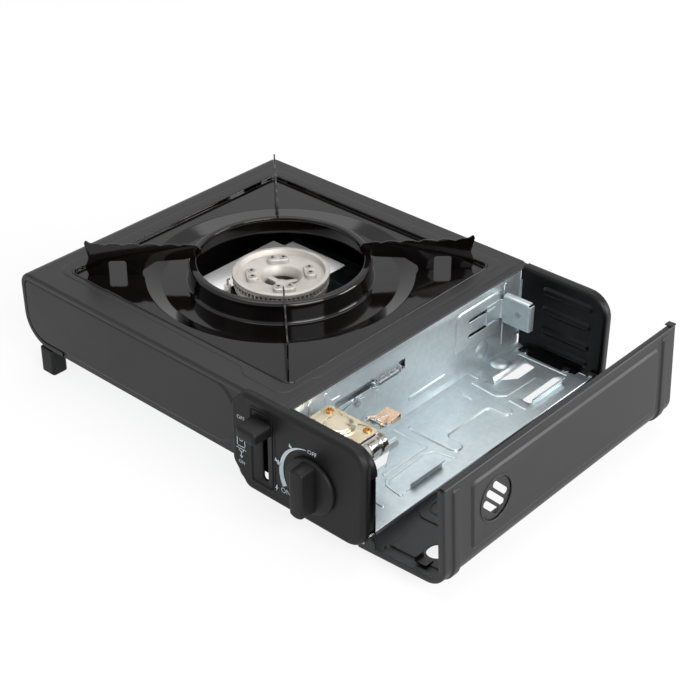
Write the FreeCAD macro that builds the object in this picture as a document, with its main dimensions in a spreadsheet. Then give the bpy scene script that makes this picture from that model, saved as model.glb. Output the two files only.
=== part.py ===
# Cassette stove with one burner, a lift-out spill tray and a hinged cartridge bay
# X runs right to the bay, Y runs back, Z runs up from the table
# Pieces are drawn about the burner's axis and then moved so that the whole stands on the origin
import FreeCAD, Part
import Sketcher
import math
import os

# Driving dimensions in millimetres and degrees: name, value, what it sets
DIMENSIONS = [
    ("sheet_steel", 0.8, "painted steel thickness"),
    ("zinc_steel", 0.7, "galvanised steel thickness"),
    ("gap_wide", 0.5, "clearance between sheet edges"),
    ("gap_fine", 0.3, "clearance round sliding pieces"),
    ("pin_play", 0.05, "radial clearance of pins and shafts"),
    ("housing_left", 140.5, "burner axis to the left side"),
    ("housing_right", 129.5, "burner axis to the cover's right edge"),
    ("housing_half_depth", 131.0, "burner axis to the front and the back"),
    ("cover_height", 80.0, "table to the cover's top"),
    ("foot_length", 21.3, "table to the bottom plate"),
    ("foot_width", 14.5, "foot across"),
    ("side_top_radius", 10.0, "cover's upper left bend"),
    ("side_low_radius", 24.0, "cover's lower left bend"),
    ("curl_length", 40.5, "how far the side curls under"),
    ("end_flange", 4.0, "cover's turned-in end band"),
    ("panel_raise", 1.2, "height of the raised front field"),
    ("field_right", 84.0, "right end of the raised front field"),
    ("tray_width", 224.0, "spill tray across"),
    ("tray_depth", 217.0, "spill tray front to back"),
    ("tray_corner", 7.0, "spill tray corner radius"),
    ("tray_rim", 2.5, "spill tray rim width"),
    ("tray_rim_height", 1.0, "spill tray rim above the cover"),
    ("tray_wall", 1.0, "enamelled steel thickness"),
    ("tray_gap", 1.0, "gap between the tray and the cover's opening"),
    ("tray_drop", 2.0, "tray floor below the cover's top"),
    ("ledge_width", 4.5, "seat ledge under the tray"),
    ("ledge_drop", 4.0, "seat ledge below the cover's top"),
    ("well_radius", 100.0, "round step in the tray"),
    ("well_drop", 6.5, "round step below the cover's top"),
    ("collar_radius", 67.7, "outside of the ring round the burner"),
    ("collar_mouth", 61.5, "opening in the ring's rolled rim"),
    ("collar_rise", 10.0, "ring above the cover's top"),
    ("blade_thickness", 1.2, "pan support sheet"),
    ("blade_reach", 143.0, "pan support's outer end from the burner axis"),
    ("blade_tip", 26.3, "pan support's tip above the cover's top"),
    ("blade_top", 22.6, "pan support's top edge above the cover's top"),
    ("burner_radius", 36.2, "burner head"),
    ("burner_drop", 1.5, "burner head's rim below the cover's top"),
    ("burner_head_height", 12.5, "burner head from rim to skirt"),
    ("burner_rim", 4.6, "flat rim of the burner head"),
    ("boss_circle", 21.5, "burner head's bosses from its axis"),
    ("middle_radius", 12.5, "opening in the middle of the burner head"),
    ("port_radius", 1.3, "hole in a port bushing"),
    ("bushing_wall", 1.2, "wall of a port bushing"),
    ("port_lean", 12.3, "angle from a boss's middle to each of its ports"),
    ("mirror_drop", 18.0, "reflector below the cover's top"),
    ("mirror_left", 57.5, "reflector to the left of the burner axis"),
    ("mirror_right", 10.3, "reflector to the right of the burner axis"),
    ("mirror_half_depth", 60.0, "reflector front and back of the burner axis"),
    ("tube_radius", 8.0, "mixing tube"),
    ("gas_level", 49.0, "height of the gas pipe and mixing tube"),
    ("gas_pipe_radius", 2.0, "copper gas pipe"),
    ("bay_width", 75.1, "cover's right edge to the bay's outer side"),
    ("bay_floor", 12.5, "table to the top of the bay's floor"),
    ("bay_front_inset", 8.0, "housing's front to the bay's front wall"),
    ("bay_back_inset", 7.0, "housing's back to the bay's back wall"),
    ("bay_corner", 18.0, "upper corner radius of the bay's end walls"),
    ("end_pan_depth", 7.0, "depth of the bay's end pans"),
    ("end_pan_base", 7.5, "table to the end pans' lower edge"),
    ("hinge_radius", 2.0, "lid hinge pin"),
    ("hinge_inset", 6.1, "bay's outer side to the hinge axis"),
    ("hinge_height", 12.5, "table to the hinge axis"),
    ("lid_open", 86.5, "lid's opening angle from closed"),
    ("lid_side", 7.5, "hinge axis to the lid's outer side"),
    ("lid_top", 68.5, "hinge axis to the lid's outer top"),
    ("lid_corner", 15.0, "lid's bend"),
    ("lid_flange", 5.0, "lid's turned-in ends"),
    ("lid_hem", 3.5, "lid's side below the hinge axis"),
    ("lid_lip", 4.0, "lid's turned-down long edge"),
    ("lid_play", 1.0, "gap at the lid's ends and long edge"),
    ("window_radius", 15.0, "vent recess in the lid"),
    ("window_depth", 1.8, "how deep the vent recess is"),
    ("panel_left", 88.0, "burner axis to the control panel's left end"),
    ("panel_proud", 8.9, "control panel's face ahead of the housing"),
    ("panel_thick", 6.4, "control panel's depth"),
    ("panel_wall", 2.2, "control panel's moulded wall"),
    ("panel_base", 9.7, "table to the control panel's lower edge"),
    ("panel_rise", 5.5, "control panel above the cover's top"),
    ("panel_corner", 14.0, "control panel's right corners"),
    ("knob_across", 161.0, "burner axis to the knob's axis"),
    ("knob_height", 42.0, "table to the knob's axis"),
    ("knob_radius", 20.5, "knob's skirt"),
    ("knob_skirt", 3.5, "knob's skirt thickness"),
    ("knob_reach", 18.5, "knob's grip ahead of the panel"),
    ("grip_width", 12.0, "knob's grip across"),
    ("shaft_radius", 3.0, "knob's shaft"),
    ("lever_across", 116.5, "burner axis to the lock lever"),
    ("lever_height", 66.8, "table to the lock lever at rest"),
    ("lever_travel", 34.0, "lock lever's stroke"),
    ("lever_grip_width", 19.0, "lock lever's grip across"),
    ("lever_grip_height", 10.5, "lock lever's grip up and down"),
    ("lever_reach", 15.0, "lock lever's grip ahead of the panel"),
    ("lever_stem", 4.6, "lock lever's stem across"),
    ("channel_depth", 2.5, "recess in which the lock lever slides"),
    ("pusher_travel", 12.0, "cartridge pusher's stroke"),
    ("bar_thickness", 1.2, "slide bar sheet"),
    ("bar_height", 8.0, "slide bar up and down"),
    ("bar_level", 58.0, "table to the slide bar's middle"),
    ("peg_radius", 2.0, "lock lever's peg"),
    ("can_across", 165.0, "burner axis to the cartridge's axis"),
    ("can_height", 46.0, "table to the cartridge's axis"),
    ("pusher_face", 98.2, "burner axis to the pusher's face"),
    ("pusher_reach", 26.0, "pusher's face across the bay"),
    ("inlet_radius", 9.2, "regulator's inlet ring"),
    ("inlet_bore", 5.6, "hole for the cartridge's nozzle"),
    ("inlet_mouth", 78.5, "burner axis to the inlet's mouth"),
    ("inlet_length", 7.5, "inlet ring's length"),
    ("regulator_across", 156.0, "burner axis to the diaphragm's axis"),
    ("regulator_front", 114.0, "burner axis to the regulator's front"),
    ("diaphragm_radius", 13.5, "diaphragm cover"),
    ("diaphragm_back", 108.0, "burner axis to the diaphragm's axis, forward"),
    ("regulator_plate_top", 65.5, "table to the regulator's top plate"),
    ("spring_wire", 0.7, "lever spring's wire"),
    ("hook_gap", 28.6, "between the lever spring's two tabs"),
    ("lead_radius", 1.1, "ignition lead"),
    ("spring_coil", 2.1, "lever spring's mean coil radius"),
    ("spring_turns", 14.0, "lever spring's turns"),
    ("spring_pitch", 1.35, "lever spring's advance in a turn"),
    ("spring_level", 58.3, "table to the lever spring's axis"),
    ("spring_across", 131.0, "burner axis to the lever spring's axis"),
    ("hook_back", -17.5, "place of the spring's fixed hook front to back"),
    ("tongue_wire", 0.7, "tongue spring's wire"),
    ("tongue_coil", 1.9, "tongue spring's mean coil radius"),
    ("tongue_turns", 3.0, "tongue spring's turns"),
    ("tongue_pitch", 1.3, "tongue spring's advance in a turn"),
]


# Arithmetic on a number together with the sheet expression that it comes from
class Size:
    def __init__(self, number, text):
        self.number = number
        self.text = text

    def joined(self, sign, other, number):
        return Size(number, "(%s %s %s)" % (self.text, sign, text_of(other)))

    def __add__(self, other):
        return self.joined("+", other, self.number + number_of(other))

    def __sub__(self, other):
        return self.joined("-", other, self.number - number_of(other))

    def __mul__(self, other):
        return self.joined("*", other, self.number * number_of(other))

    def __truediv__(self, other):
        return self.joined("/", other, self.number / number_of(other))

    def __radd__(self, other):
        return Size(number_of(other), text_of(other)) + self

    def __rmul__(self, other):
        return Size(number_of(other), text_of(other)) * self

    def __rsub__(self, other):
        return Size(number_of(other), text_of(other)) - self

    def __neg__(self):
        return Size(-self.number, "(0 - %s)" % self.text)


def number_of(value):
    return value.number if isinstance(value, Size) else float(value)


def text_of(value):
    return value.text if isinstance(value, Size) else "(%.6f)" % value


doc = FreeCAD.newDocument("CassetteStove")
sheet = doc.addObject("Spreadsheet::Sheet", "Sizes")
pieces = []


class Dimensions:
    pass


# Each dimension goes into the sheet and comes back as a Size of the same name
def fill_sheet():
    sizes = Dimensions()
    names = DIMENSIONS + [("shift_across", 0.0, "burner axis from the origin"),
                          ("shift_back", 0.0, "burner axis from the origin")]
    for row, (name, value, meaning) in enumerate(names, start=1):
        sheet.set("A%d" % row, meaning)
        sheet.set("B%d" % row, "%.6g" % value)
        sheet.setAlias("B%d" % row, name)
        setattr(sizes, name, Size(float(value), "Sizes." + name))
    doc.recompute()
    return sizes


d = fill_sheet()


# Placing and naming of finished pieces

def place(obj, label, across=0, back=0, up=0):
    obj.Label = label
    obj.setExpression("Placement.Base.x", (d.shift_across + across).text)
    obj.setExpression("Placement.Base.y", (d.shift_back + back).text)
    obj.setExpression("Placement.Base.z", text_of(up))
    pieces.append(obj)
    return obj


def new_body(label, across=0, back=0, up=0, turn_axis=None, angle=0):
    body = doc.addObject("PartDesign::Body", label)
    if turn_axis is not None:
        body.Placement.Rotation = FreeCAD.Rotation(FreeCAD.Vector(*turn_axis), 1.0)
        body.setExpression("Placement.Rotation.Angle", text_of(angle))
    return place(body, label, across, back, up)


# Loops for sketches: corners are (across, up) or (across, up, radius)

def rectangle(left, right, low, high, radius=0):
    return [(left, low, radius), (right, low, radius), (right, high, radius), (left, high, radius)]


def centred(across, up, width, height, radius=0):
    return rectangle(across - width / 2, across + width / 2, up - height / 2, up + height / 2, radius)


def circle(across, up, radius):
    return {"centre": (across, up), "radius": radius}


def add_circle(sketch, rules, loop, tag):
    centre = [number_of(value) for value in loop["centre"]]
    radius = number_of(loop["radius"])
    shape = Part.Circle(FreeCAD.Vector(centre[0], centre[1], 0), FreeCAD.Vector(0, 0, 1), radius)
    index = sketch.addGeometry(shape)
    rules.append((Sketcher.Constraint("DistanceX", index, 3, centre[0]), loop["centre"][0], tag + "x"))
    rules.append((Sketcher.Constraint("DistanceY", index, 3, centre[1]), loop["centre"][1], tag + "y"))
    rules.append((Sketcher.Constraint("Radius", index, radius), loop["radius"], tag + "r"))


# Adds all constraints at once and binds those whose value is a sheet expression
def apply_rules(sketch, rules):
    sketch.addConstraint([rule[0] for rule in rules])
    for index, (constraint, value, name) in enumerate(rules):
        if isinstance(value, Size):
            sketch.renameConstraint(index, name)
            sketch.setExpression("Constraints." + name, value.text)


# The tangent points, centre and turning side of one rounded corner
def corner_arc(before, point, after, radius):
    back = (before - point).normalize()
    ahead = (after - point).normalize()
    half = back.getAngle(ahead) / 2
    reach = radius / math.tan(half)
    centre = point + (back + ahead).normalize() * (radius / math.sin(half))
    turns_left = back.cross(ahead).z < 0
    return point + back * reach, point + ahead * reach, centre, turns_left


def add_loop(sketch, rules, corners, tag):
    count = len(corners)
    points = [FreeCAD.Vector(number_of(c[0]), number_of(c[1]), 0) for c in corners]
    radii = [number_of(c[2]) if len(c) > 2 else 0.0 for c in corners]
    enter = list(points)
    leave = list(points)
    arcs = {}
    for i in range(count):
        if radii[i] > 0:
            arc = corner_arc(points[i - 1], points[i], points[(i + 1) % count], radii[i])
            enter[i], leave[i], centre, turns_left = arc
            start = enter[i] - centre if turns_left else leave[i] - centre
            end = leave[i] - centre if turns_left else enter[i] - centre
            first = math.atan2(start.y, start.x)
            last = math.atan2(end.y, end.x)
            last += 2 * math.pi if last < first else 0
            full = Part.Circle(centre, FreeCAD.Vector(0, 0, 1), radii[i])
            arcs[i] = (sketch.addGeometry(Part.ArcOfCircle(full, first, last)), turns_left)
    lines = [sketch.addGeometry(Part.LineSegment(leave[i], enter[(i + 1) % count])) for i in range(count)]
    for i, corner in enumerate(corners):
        line_in, line_out = lines[i - 1], lines[i]
        spot, vertex = line_out, 1
        if i in arcs:
            arc, turns_left = arcs[i]
            first, last = (1, 2) if turns_left else (2, 1)
            rules.append((Sketcher.Constraint("Tangent", line_in, 2, arc, first), None, ""))
            rules.append((Sketcher.Constraint("Tangent", arc, last, line_out, 1), None, ""))
            rules.append((Sketcher.Constraint("Radius", arc, radii[i]), corner[2], "%sr%d" % (tag, i)))
            spot = sketch.addGeometry(Part.Point(points[i]), True)
            rules.append((Sketcher.Constraint("PointOnObject", spot, 1, line_in), None, ""))
            rules.append((Sketcher.Constraint("PointOnObject", spot, 1, line_out), None, ""))
        else:
            rules.append((Sketcher.Constraint("Coincident", line_in, 2, line_out, 1), None, ""))
        across = Sketcher.Constraint("DistanceX", spot, vertex, points[i].x)
        rules.append((across, corner[0], "%sx%d" % (tag, i)))
        upward = Sketcher.Constraint("DistanceY", spot, vertex, points[i].y)
        rules.append((upward, corner[1], "%sy%d" % (tag, i)))


# A sketch on one of the body's own planes, lifted to a level along that plane's axis
def new_sketch(body, plane, level, loops):
    origin_plane = [o for o in body.Origin.OriginFeatures if o.Role == plane + "_Plane"][0]
    sketch = body.newObject("Sketcher::SketchObject", "Outline")
    sketch.AttachmentSupport = [(origin_plane, "")]
    sketch.MapMode = "FlatFace"
    offset = -level if plane == "XZ" else level
    sketch.setExpression(".AttachmentOffset.Base.z", text_of(offset))
    rules = []
    for number, loop in enumerate(loops):
        if isinstance(loop, dict):
            add_circle(sketch, rules, loop, "c%d" % number)
        else:
            add_loop(sketch, rules, loop, "p%d" % number)
    apply_rules(sketch, rules)
    return sketch


def pad(body, plane, loops, low, high):
    sketch = new_sketch(body, plane, low, loops)
    feature = body.newObject("PartDesign::Pad", "Pad")
    feature.Profile = sketch
    feature.Reversed = plane == "XZ"
    feature.setExpression("Length", text_of(high - low))
    return feature


def pocket(body, plane, loops, low, high):
    doc.recompute()
    before = body.Shape.Volume
    sketch = new_sketch(body, plane, low, loops)
    feature = body.newObject("PartDesign::Pocket", "Pocket")
    feature.Profile = sketch
    feature.Reversed = plane != "XZ"
    feature.setExpression("Length", text_of(high - low))
    doc.recompute()
    if not body.Shape.Volume < before - 0.001:
        raise RuntimeError("a pocket in %s cuts nothing" % body.Label)
    return feature


# Rounds the edges whose bounding box passes the test
def soften(body, radius, test):
    doc.recompute()
    base = body.Tip
    names = ["Edge%d" % n for n, edge in enumerate(base.Shape.Edges, start=1) if test(edge.BoundBox)]
    if not names:
        raise RuntimeError("no edge to round in %s" % body.Label)
    feature = body.newObject("PartDesign::Fillet", "Fillet")
    feature.Base = (base, names)
    feature.setExpression("Radius", text_of(radius))
    return feature


def spin(body, plane, loops):
    sketch = new_sketch(body, plane, 0.0, loops)
    feature = body.newObject("PartDesign::Revolution", "Turned")
    feature.Profile = sketch
    feature.ReferenceAxis = (sketch, ["V_Axis"])
    feature.Angle = 360.0
    return feature


# Round bars along an axis, as plain solids
ALONG = {"X": FreeCAD.Rotation(FreeCAD.Vector(0, 1, 0), 90),
         "Y": FreeCAD.Rotation(FreeCAD.Vector(1, 0, 0), -90),
         "Z": FreeCAD.Rotation()}


def rod(axis, at, radius, length):
    bar = doc.addObject("Part::Cylinder", "Rod")
    bar.setExpression("Radius", text_of(radius))
    bar.setExpression("Height", text_of(length))
    bar.Placement.Rotation = ALONG[axis]
    for name, value in zip("xyz", at):
        bar.setExpression("Placement.Base." + name, text_of(value))
    return bar


def fused(*parts):
    union = doc.addObject("Part::MultiFuse", "Joined")
    union.Shapes = list(parts)
    return union


def without(base, *tools):
    for tool in tools:
        cut = doc.addObject("Part::Cut", "Cut")
        cut.Base = base
        cut.Tool = tool
        base = cut
    return base


def grouped(parts):
    group = doc.addObject("Part::Compound", "Group")
    group.Links = list(parts)
    return group


# Pan-head screws and rivets: a shank with a wider head at its start, along an axis
def screw(axis, at, shank_radius, length, head_radius, head_height, head_first=True):
    step = {"X": (1, 0, 0), "Y": (0, 1, 0), "Z": (0, 0, 1)}[axis]
    head_shift = -head_height if head_first else length
    head_at = [value + head_shift * part for value, part in zip(at, step)]
    return fused(rod(axis, at, shank_radius, length), rod(axis, head_at, head_radius, head_height))


# Heights and places that several pieces share
base_top = d.foot_length + d.zinc_steel
front = -d.housing_half_depth
bay_front = d.housing_half_depth - d.bay_front_inset
bay_back = d.housing_half_depth - d.bay_back_inset
panel_face = front - d.panel_proud
panel_back = panel_face + d.panel_thick
bay_right = d.housing_right + d.bay_width
partition_face = d.housing_right - 1.6
partition_inner = partition_face - d.zinc_steel
pan_left = d.housing_right + 0.4
hinge_across = bay_right - d.hinge_inset
tray_floor = d.cover_height - d.tray_drop
ledge_top = d.cover_height - d.ledge_drop
collar_top = d.cover_height + d.collar_rise
burner_top = d.cover_height - d.burner_drop
skirt_base = burner_top - d.burner_head_height
slot_across = d.lever_across + 2.8
bar_right = partition_inner - 3.5
bar_left = bar_right - d.bar_thickness
peg_back = front + 20.0
moving_tab = d.hook_back - d.hook_gap
hook_tip = d.spring_across + d.spring_coil - d.spring_wire / 2 - 0.6
tongue_left = d.can_across - 3.0
tongue_right = tongue_left + 13.0
tongue_axis = (-d.inlet_mouth - d.inlet_length - 0.5, d.regulator_plate_top + 1.5)


# Housing

def cover_path(depth):
    inner_top = d.cover_height - depth
    inner_left = depth - d.housing_left
    curl = d.curl_length - d.housing_left
    return [(d.housing_right, inner_top), (d.housing_right, d.cover_height),
            (-d.housing_left, d.cover_height, d.side_top_radius),
            (-d.housing_left, base_top, d.side_low_radius), (curl, base_top), (curl, base_top + depth),
            (inner_left, base_top + depth, d.side_low_radius - depth),
            (inner_left, inner_top, d.side_top_radius - depth)]


def tray_opening(grow, radius_grow):
    return centred(0, 0, d.tray_width + grow * 2, d.tray_depth + grow * 2, d.tray_corner + radius_grow)


def make_top_cover():
    body = new_body("top_cover")
    sheet_t = d.sheet_steel
    plain = cover_path(sheet_t)
    pad(body, "XZ", [plain], front, d.housing_half_depth)
    lip = rectangle(d.housing_right - sheet_t, d.housing_right, d.cover_height - 5, d.cover_height - sheet_t / 2)
    pad(body, "XZ", [lip], d.gap_wide - bay_front, bay_back - d.gap_wide)
    band = cover_path(d.end_flange)
    pad(body, "XZ", [band], front, front + sheet_t)
    pad(body, "XZ", [band], d.housing_half_depth - sheet_t, d.housing_half_depth)
    seat = tray_opening(d.tray_gap + sheet_t, d.tray_gap + sheet_t)
    pad(body, "XY", [seat], ledge_top - sheet_t, d.cover_height - sheet_t / 2)
    pocket(body, "XY", [tray_opening(d.tray_gap, d.tray_gap)], ledge_top, d.cover_height + 1)
    ledge_edge = tray_opening(d.tray_gap - d.ledge_width, d.tray_gap)
    pocket(body, "XY", [ledge_edge], ledge_top - 2, d.cover_height)
    end = d.housing_half_depth.number

    def end_edge(box):
        flat = box.YLength < 0.001 and abs(abs(box.YMin) - end) < 0.001
        return flat and box.ZMax > d.cover_height.number - 0.9 and box.XLength > 100
    soften(body, sheet_t * 1.8, end_edge)


def end_panel_outline():
    gap = d.gap_wide
    left = d.sheet_steel + gap - d.housing_left
    top = d.cover_height - d.sheet_steel - gap
    low = base_top + d.sheet_steel + gap
    curl = d.curl_length - d.housing_left + gap * 2
    foot = d.foot_length - d.sheet_steel
    return [(d.housing_right - gap, top), (left, top, d.side_top_radius - d.sheet_steel - gap),
            (left, low, d.side_low_radius - d.sheet_steel - gap), (curl, low), (curl, foot),
            (d.housing_right - gap, foot)]


def field_outline(right, inset):
    left = d.end_flange + inset - d.housing_left
    top = d.cover_height - d.end_flange - inset
    low = base_top + d.end_flange + inset
    return [(right - inset, top, 20), (left, top, d.side_top_radius - d.end_flange - 1.0),
            (left, low, d.side_low_radius - d.end_flange - inset), (right - inset, low, 20)]


# A panel behind the cover's end band, with its raised field and the foot that the bottom plate stands on
def make_end_panel(label, side, field_right):
    body = new_body(label)
    near = d.housing_half_depth - d.sheet_steel
    far = near - d.sheet_steel
    raised = near + d.panel_raise
    foot_depth = 10.0
    wall = d.sheet_steel

    def span(inner, outer):
        return (-outer, -inner) if side < 0 else (inner, outer)
    pad(body, "XZ", [end_panel_outline()], *span(far, near))
    pad(body, "XZ", [field_outline(field_right, 1.2)], *span(near - wall / 2, raised))
    pocket(body, "XZ", [field_outline(field_right, 2.2)], *span(far - 1, raised - wall))
    foot_left = d.curl_length - d.housing_left + d.gap_wide * 2
    foot = rectangle(foot_left, d.housing_right - d.gap_wide - 2, d.foot_length - wall, d.foot_length)
    pad(body, "XZ", [foot], *span(near - foot_depth, near - wall / 2))
    return body, span(far - 1, near + 1)


def make_panels():
    body, through = make_end_panel("front_panel", -1, d.field_right)
    slot_low = d.lever_height - d.lever_travel - 6
    slot = rectangle(slot_across - 4.5, slot_across + 4.5, slot_low, d.lever_height + 8, 2)
    pocket(body, "XZ", [slot], *through)
    pocket(body, "XZ", [circle(across, up, 1.2) for across, up in panel_screw_spots()], *through)
    make_end_panel("back_panel", 1, d.housing_right - 6)


def make_bottom_plate():
    body = new_body("bottom_plate")
    reach = d.housing_half_depth - 4
    pad(body, "XY", [rectangle(16 - d.housing_left, partition_inner, -reach, reach, 3)], d.foot_length, base_top)
    middles = (31 - d.housing_half_depth, d.housing_half_depth - 81, d.housing_half_depth - 41)
    ribs = [rectangle(-90, 70, middle - 4, middle + 4, 3.5) for middle in middles]
    pad(body, "XY", ribs, base_top - d.zinc_steel / 2, base_top + 1.6)
    hollow = [rectangle(-89, 69, middle - 3, middle + 3, 2.5) for middle in middles]
    pocket(body, "XY", hollow, d.foot_length - 1, base_top + 0.9)


def make_foot(label, across, back):
    body = new_body(label, across, back)
    half = d.foot_width / 2
    pad(body, "XY", [rectangle(-half, half, -half + 0.5, half - 0.5, 2.5)], 0, d.foot_length)
    soften(body, 1.2, lambda box: box.ZMax < 0.001)


def make_feet():
    left = 22.4 - d.housing_left
    right = d.housing_right - 22.5
    rear = d.housing_half_depth - 18
    make_foot("foot_front_left", left, 5.8 - d.housing_half_depth)
    make_foot("foot_rear_left", left, rear)
    make_foot("foot_front_right", right, 37 - d.housing_half_depth)
    make_foot("foot_rear_right", right, rear)


# Cartridge bay

def make_partition():
    body = new_body("partition_wall")
    foot_top = d.bay_floor + d.zinc_steel
    under_cover = d.cover_height - d.sheet_steel
    low, high = -bay_front, bay_back
    pad(body, "YZ", [rectangle(low, high, d.bay_floor, under_cover)], partition_inner, partition_face)
    pad(body, "XY", [rectangle(partition_face - 0.2, partition_face + 5, low, high)], d.bay_floor, foot_top)
    top = rectangle(partition_inner - 6, partition_inner + 0.2, low, high)
    pad(body, "XY", [top], under_cover - d.zinc_steel, under_cover)
    tab_low, tab_high = d.bay_floor + 8, d.cover_height - 12
    for start, end in ((low, low + d.zinc_steel), (high - d.zinc_steel, high)):
        pad(body, "XZ", [rectangle(partition_face - 0.2, partition_face + 8, tab_low, tab_high)], start, end)
    hook_tab = d.hook_back
    pusher_back = d.pusher_face - 4.2
    openings = [rectangle(moving_tab - 36, moving_tab + 4, d.bar_level - 3.2, d.bar_level + 3.2, 1.4),
                rectangle(hook_tab + 0.8, hook_tab + 8, d.spring_level - 4, d.spring_level + 4, 0.8),
                circle(-90, d.gas_level, d.gas_pipe_radius + d.gap_wide),
                circle(-112.5, base_top + 1.6, d.lead_radius + 0.9)]
    for level in (60.0, 47.0):
        openings.append(rectangle(pusher_back - 33, pusher_back + 1, level - 1.5, level + 1.5, 1.0))
    pocket(body, "YZ", openings, partition_inner - 1, partition_face + 1)
    anchor = rectangle(partition_face - 0.2, hook_tip, d.spring_level - 3, d.spring_level + 3)
    pad(body, "XZ", [anchor], hook_tab, hook_tab + d.zinc_steel)
    pocket(body, "XZ", [hook_eye()], hook_tab - 1, hook_tab + 2)


def hook_eye():
    return circle(d.spring_across - d.spring_coil, d.spring_level, d.spring_wire / 2 + 0.5)


# The galvanised floor with its louvres, whose flanges cradle the cartridge
def make_bay_floor():
    body = new_body("compartment_floor")
    floor_low = d.bay_floor - d.zinc_steel
    left = partition_inner - 3.2
    right = bay_right - 6.6
    notch = 12.0
    outline = [(left, -bay_front), (right, -bay_front), (right, bay_back - 3),
               (right - notch, bay_back - 3), (right - notch, bay_back), (left, bay_back)]
    pad(body, "XY", [outline], floor_low, d.bay_floor)
    lip = rectangle(right - d.zinc_steel, right, d.bay_floor - 3.2, d.bay_floor)
    pad(body, "XZ", [lip], -bay_front, bay_back - 4)
    slots = []
    flanges = []
    for side in (-1, 1):
        for low, high in ((-71, -35), (66, 102)):
            edge = d.can_across + side * 19.5
            inner = edge - side * 10.5
            slots.append(rectangle(edge if side < 0 else inner, inner if side < 0 else edge, low, high, 3))
            flanges.append(rectangle(edge - 0.35, edge + 0.35, low + 4, high - 4))
    pocket(body, "XY", slots, floor_low - 1, d.bay_floor + 1)
    pad(body, "XY", flanges, floor_low, d.bay_floor + 5)
    holes = [circle(across, back, 1.6) for across, back in floor_screw_spots()]
    pocket(body, "XY", holes, floor_low - 1, d.bay_floor + 1)


def floor_screw_spots():
    return [(d.housing_right + 12, bay_back - 7), (d.housing_right + 50, bay_back - 7),
            (d.housing_right + 12, 7 - bay_front), (d.housing_right + 50, 7 - bay_front)]


def end_pan_loop(inset, right):
    top = d.cover_height - 0.3 - inset
    low = d.end_pan_base + inset
    return [(pan_left + (0 if inset == 0 else -20), low), (right - inset, low, 5.0 - inset),
            (right - inset, top, d.bay_corner - inset), (pan_left + (0 if inset == 0 else -20), top)]


# A wall with a turned-out band on three sides; the ribs stand into the bay
def make_end_pan(label, side, right, face, rib_levels):
    body = new_body(label)
    wall = d.sheet_steel
    far = face + d.end_pan_depth
    low, high = (-far, -face) if side < 0 else (face, far)
    hollow = (low - 1, high - wall) if side < 0 else (low + wall, high + 1)
    pad(body, "XZ", [end_pan_loop(0, right)], low, high)
    pocket(body, "XZ", [end_pan_loop(wall, right)], *hollow)
    if rib_levels:
        rib_end = right - 12.5
        rib_start = d.housing_right + 22
        ribs = [rectangle(rib_start, rib_end, level - 2.5, level + 2.5, 2.4) for level in rib_levels]
        pad(body, "XZ", ribs, face - 1.4, face + wall / 2)
        backs = [rectangle(rib_start + 1, rib_end - 1, level - 1.5, level + 1.5, 1.4) for level in rib_levels]
        pocket(body, "XZ", backs, face - 0.6, face + wall + 1)
    hole = circle(hinge_across, d.hinge_height, d.hinge_radius)
    span = (low - 1, high + 1)
    pocket(body, "XZ", [hole], *span)
    under_floor = d.bay_floor - d.zinc_steel
    foot_span = (-face - wall / 2, 12 - face) if side < 0 else (face - 12, face + wall / 2)
    foot = rectangle(d.housing_right + 6, d.housing_right + 58, *foot_span)
    pad(body, "XY", [foot], under_floor - wall, under_floor)
    holes = [circle(x, y, 1.6) for x, y in floor_screw_spots() if (number_of(y) > 0) == (side > 0)]
    pocket(body, "XY", holes, under_floor - 2, under_floor + 1)
    return body, span


def make_end_pans():
    make_end_pan("rear_end_wall", 1, bay_right, bay_back, (67, 51, 34, 20))
    body, span = make_end_pan("front_end_plate", -1, bay_right - 1.1, bay_front, ())
    pocket(body, "XZ", [circle(d.knob_across, d.knob_height, d.shaft_radius + 0.6)], *span)


def make_small_fasteners():
    low = d.bay_floor - d.zinc_steel - d.sheet_steel - 1.5
    screws = [screw("Z", (x, y, low), 1.6, d.bay_floor - low, 3, 1.4, False) for x, y in floor_screw_spots()]
    place(grouped(screws), "floor_screws")
    inner = front + d.sheet_steel * 2
    screws = [screw("Y", (across, front - 3, up), 1.2, inner - front + 3, 2.4, 1.4, False)
              for across, up in panel_screw_spots()]
    place(grouped(screws), "panel_screws")
    start = front - 2.2
    front_pin = rod("Y", (hinge_across, start, d.hinge_height), d.hinge_radius, -bay_front - start)
    rear_pin = rod("Y", (hinge_across, bay_back - d.lid_play - 1.9, d.hinge_height), d.hinge_radius, 8)
    place(grouped([front_pin, rear_pin]), "lid_hinge_pins")


# Lid, drawn closed about its hinge axis and turned open by its placement

def lid_path(depth):
    left = pan_left + 0.6 - hinge_across
    top = d.lid_top
    side = d.lid_side
    return left, [(left, top - depth), (left, top), (side, top, d.lid_corner), (side, -d.lid_hem),
                  (side - depth, -d.lid_hem), (side - depth, top - depth, d.lid_corner - depth)]


def make_lid():
    body = new_body("lid", hinge_across, 0, d.hinge_height, (0, 1, 0), d.lid_open)
    wall = d.sheet_steel
    near = -(d.housing_half_depth + d.lid_play + d.sheet_steel * 0.625)
    far = bay_back - d.lid_play
    left, skin = lid_path(wall)
    pad(body, "XZ", [skin], near, far)
    lip = rectangle(left, left + wall, d.lid_top - d.lid_lip, d.lid_top - wall / 2)
    pad(body, "XZ", [lip], d.lid_play - bay_front, far)
    band = lid_path(d.lid_flange)[1]
    ear = [(-4.6, -4.6, 4.4), (d.lid_side, -4.6, 1.0), (d.lid_side, 10), (d.lid_side - d.lid_flange, 10, 2),
           (-4.6, 4.6, 4.0)]
    for start, end in ((near, near + wall), (far - wall, far)):
        pad(body, "XZ", [band], start, end)
        pad(body, "XZ", [ear], start, end)
        pocket(body, "XZ", [circle(0, 0, d.hinge_radius + d.pin_play)], start - 1, end + 1)
    cut_lid_vents(body)


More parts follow.
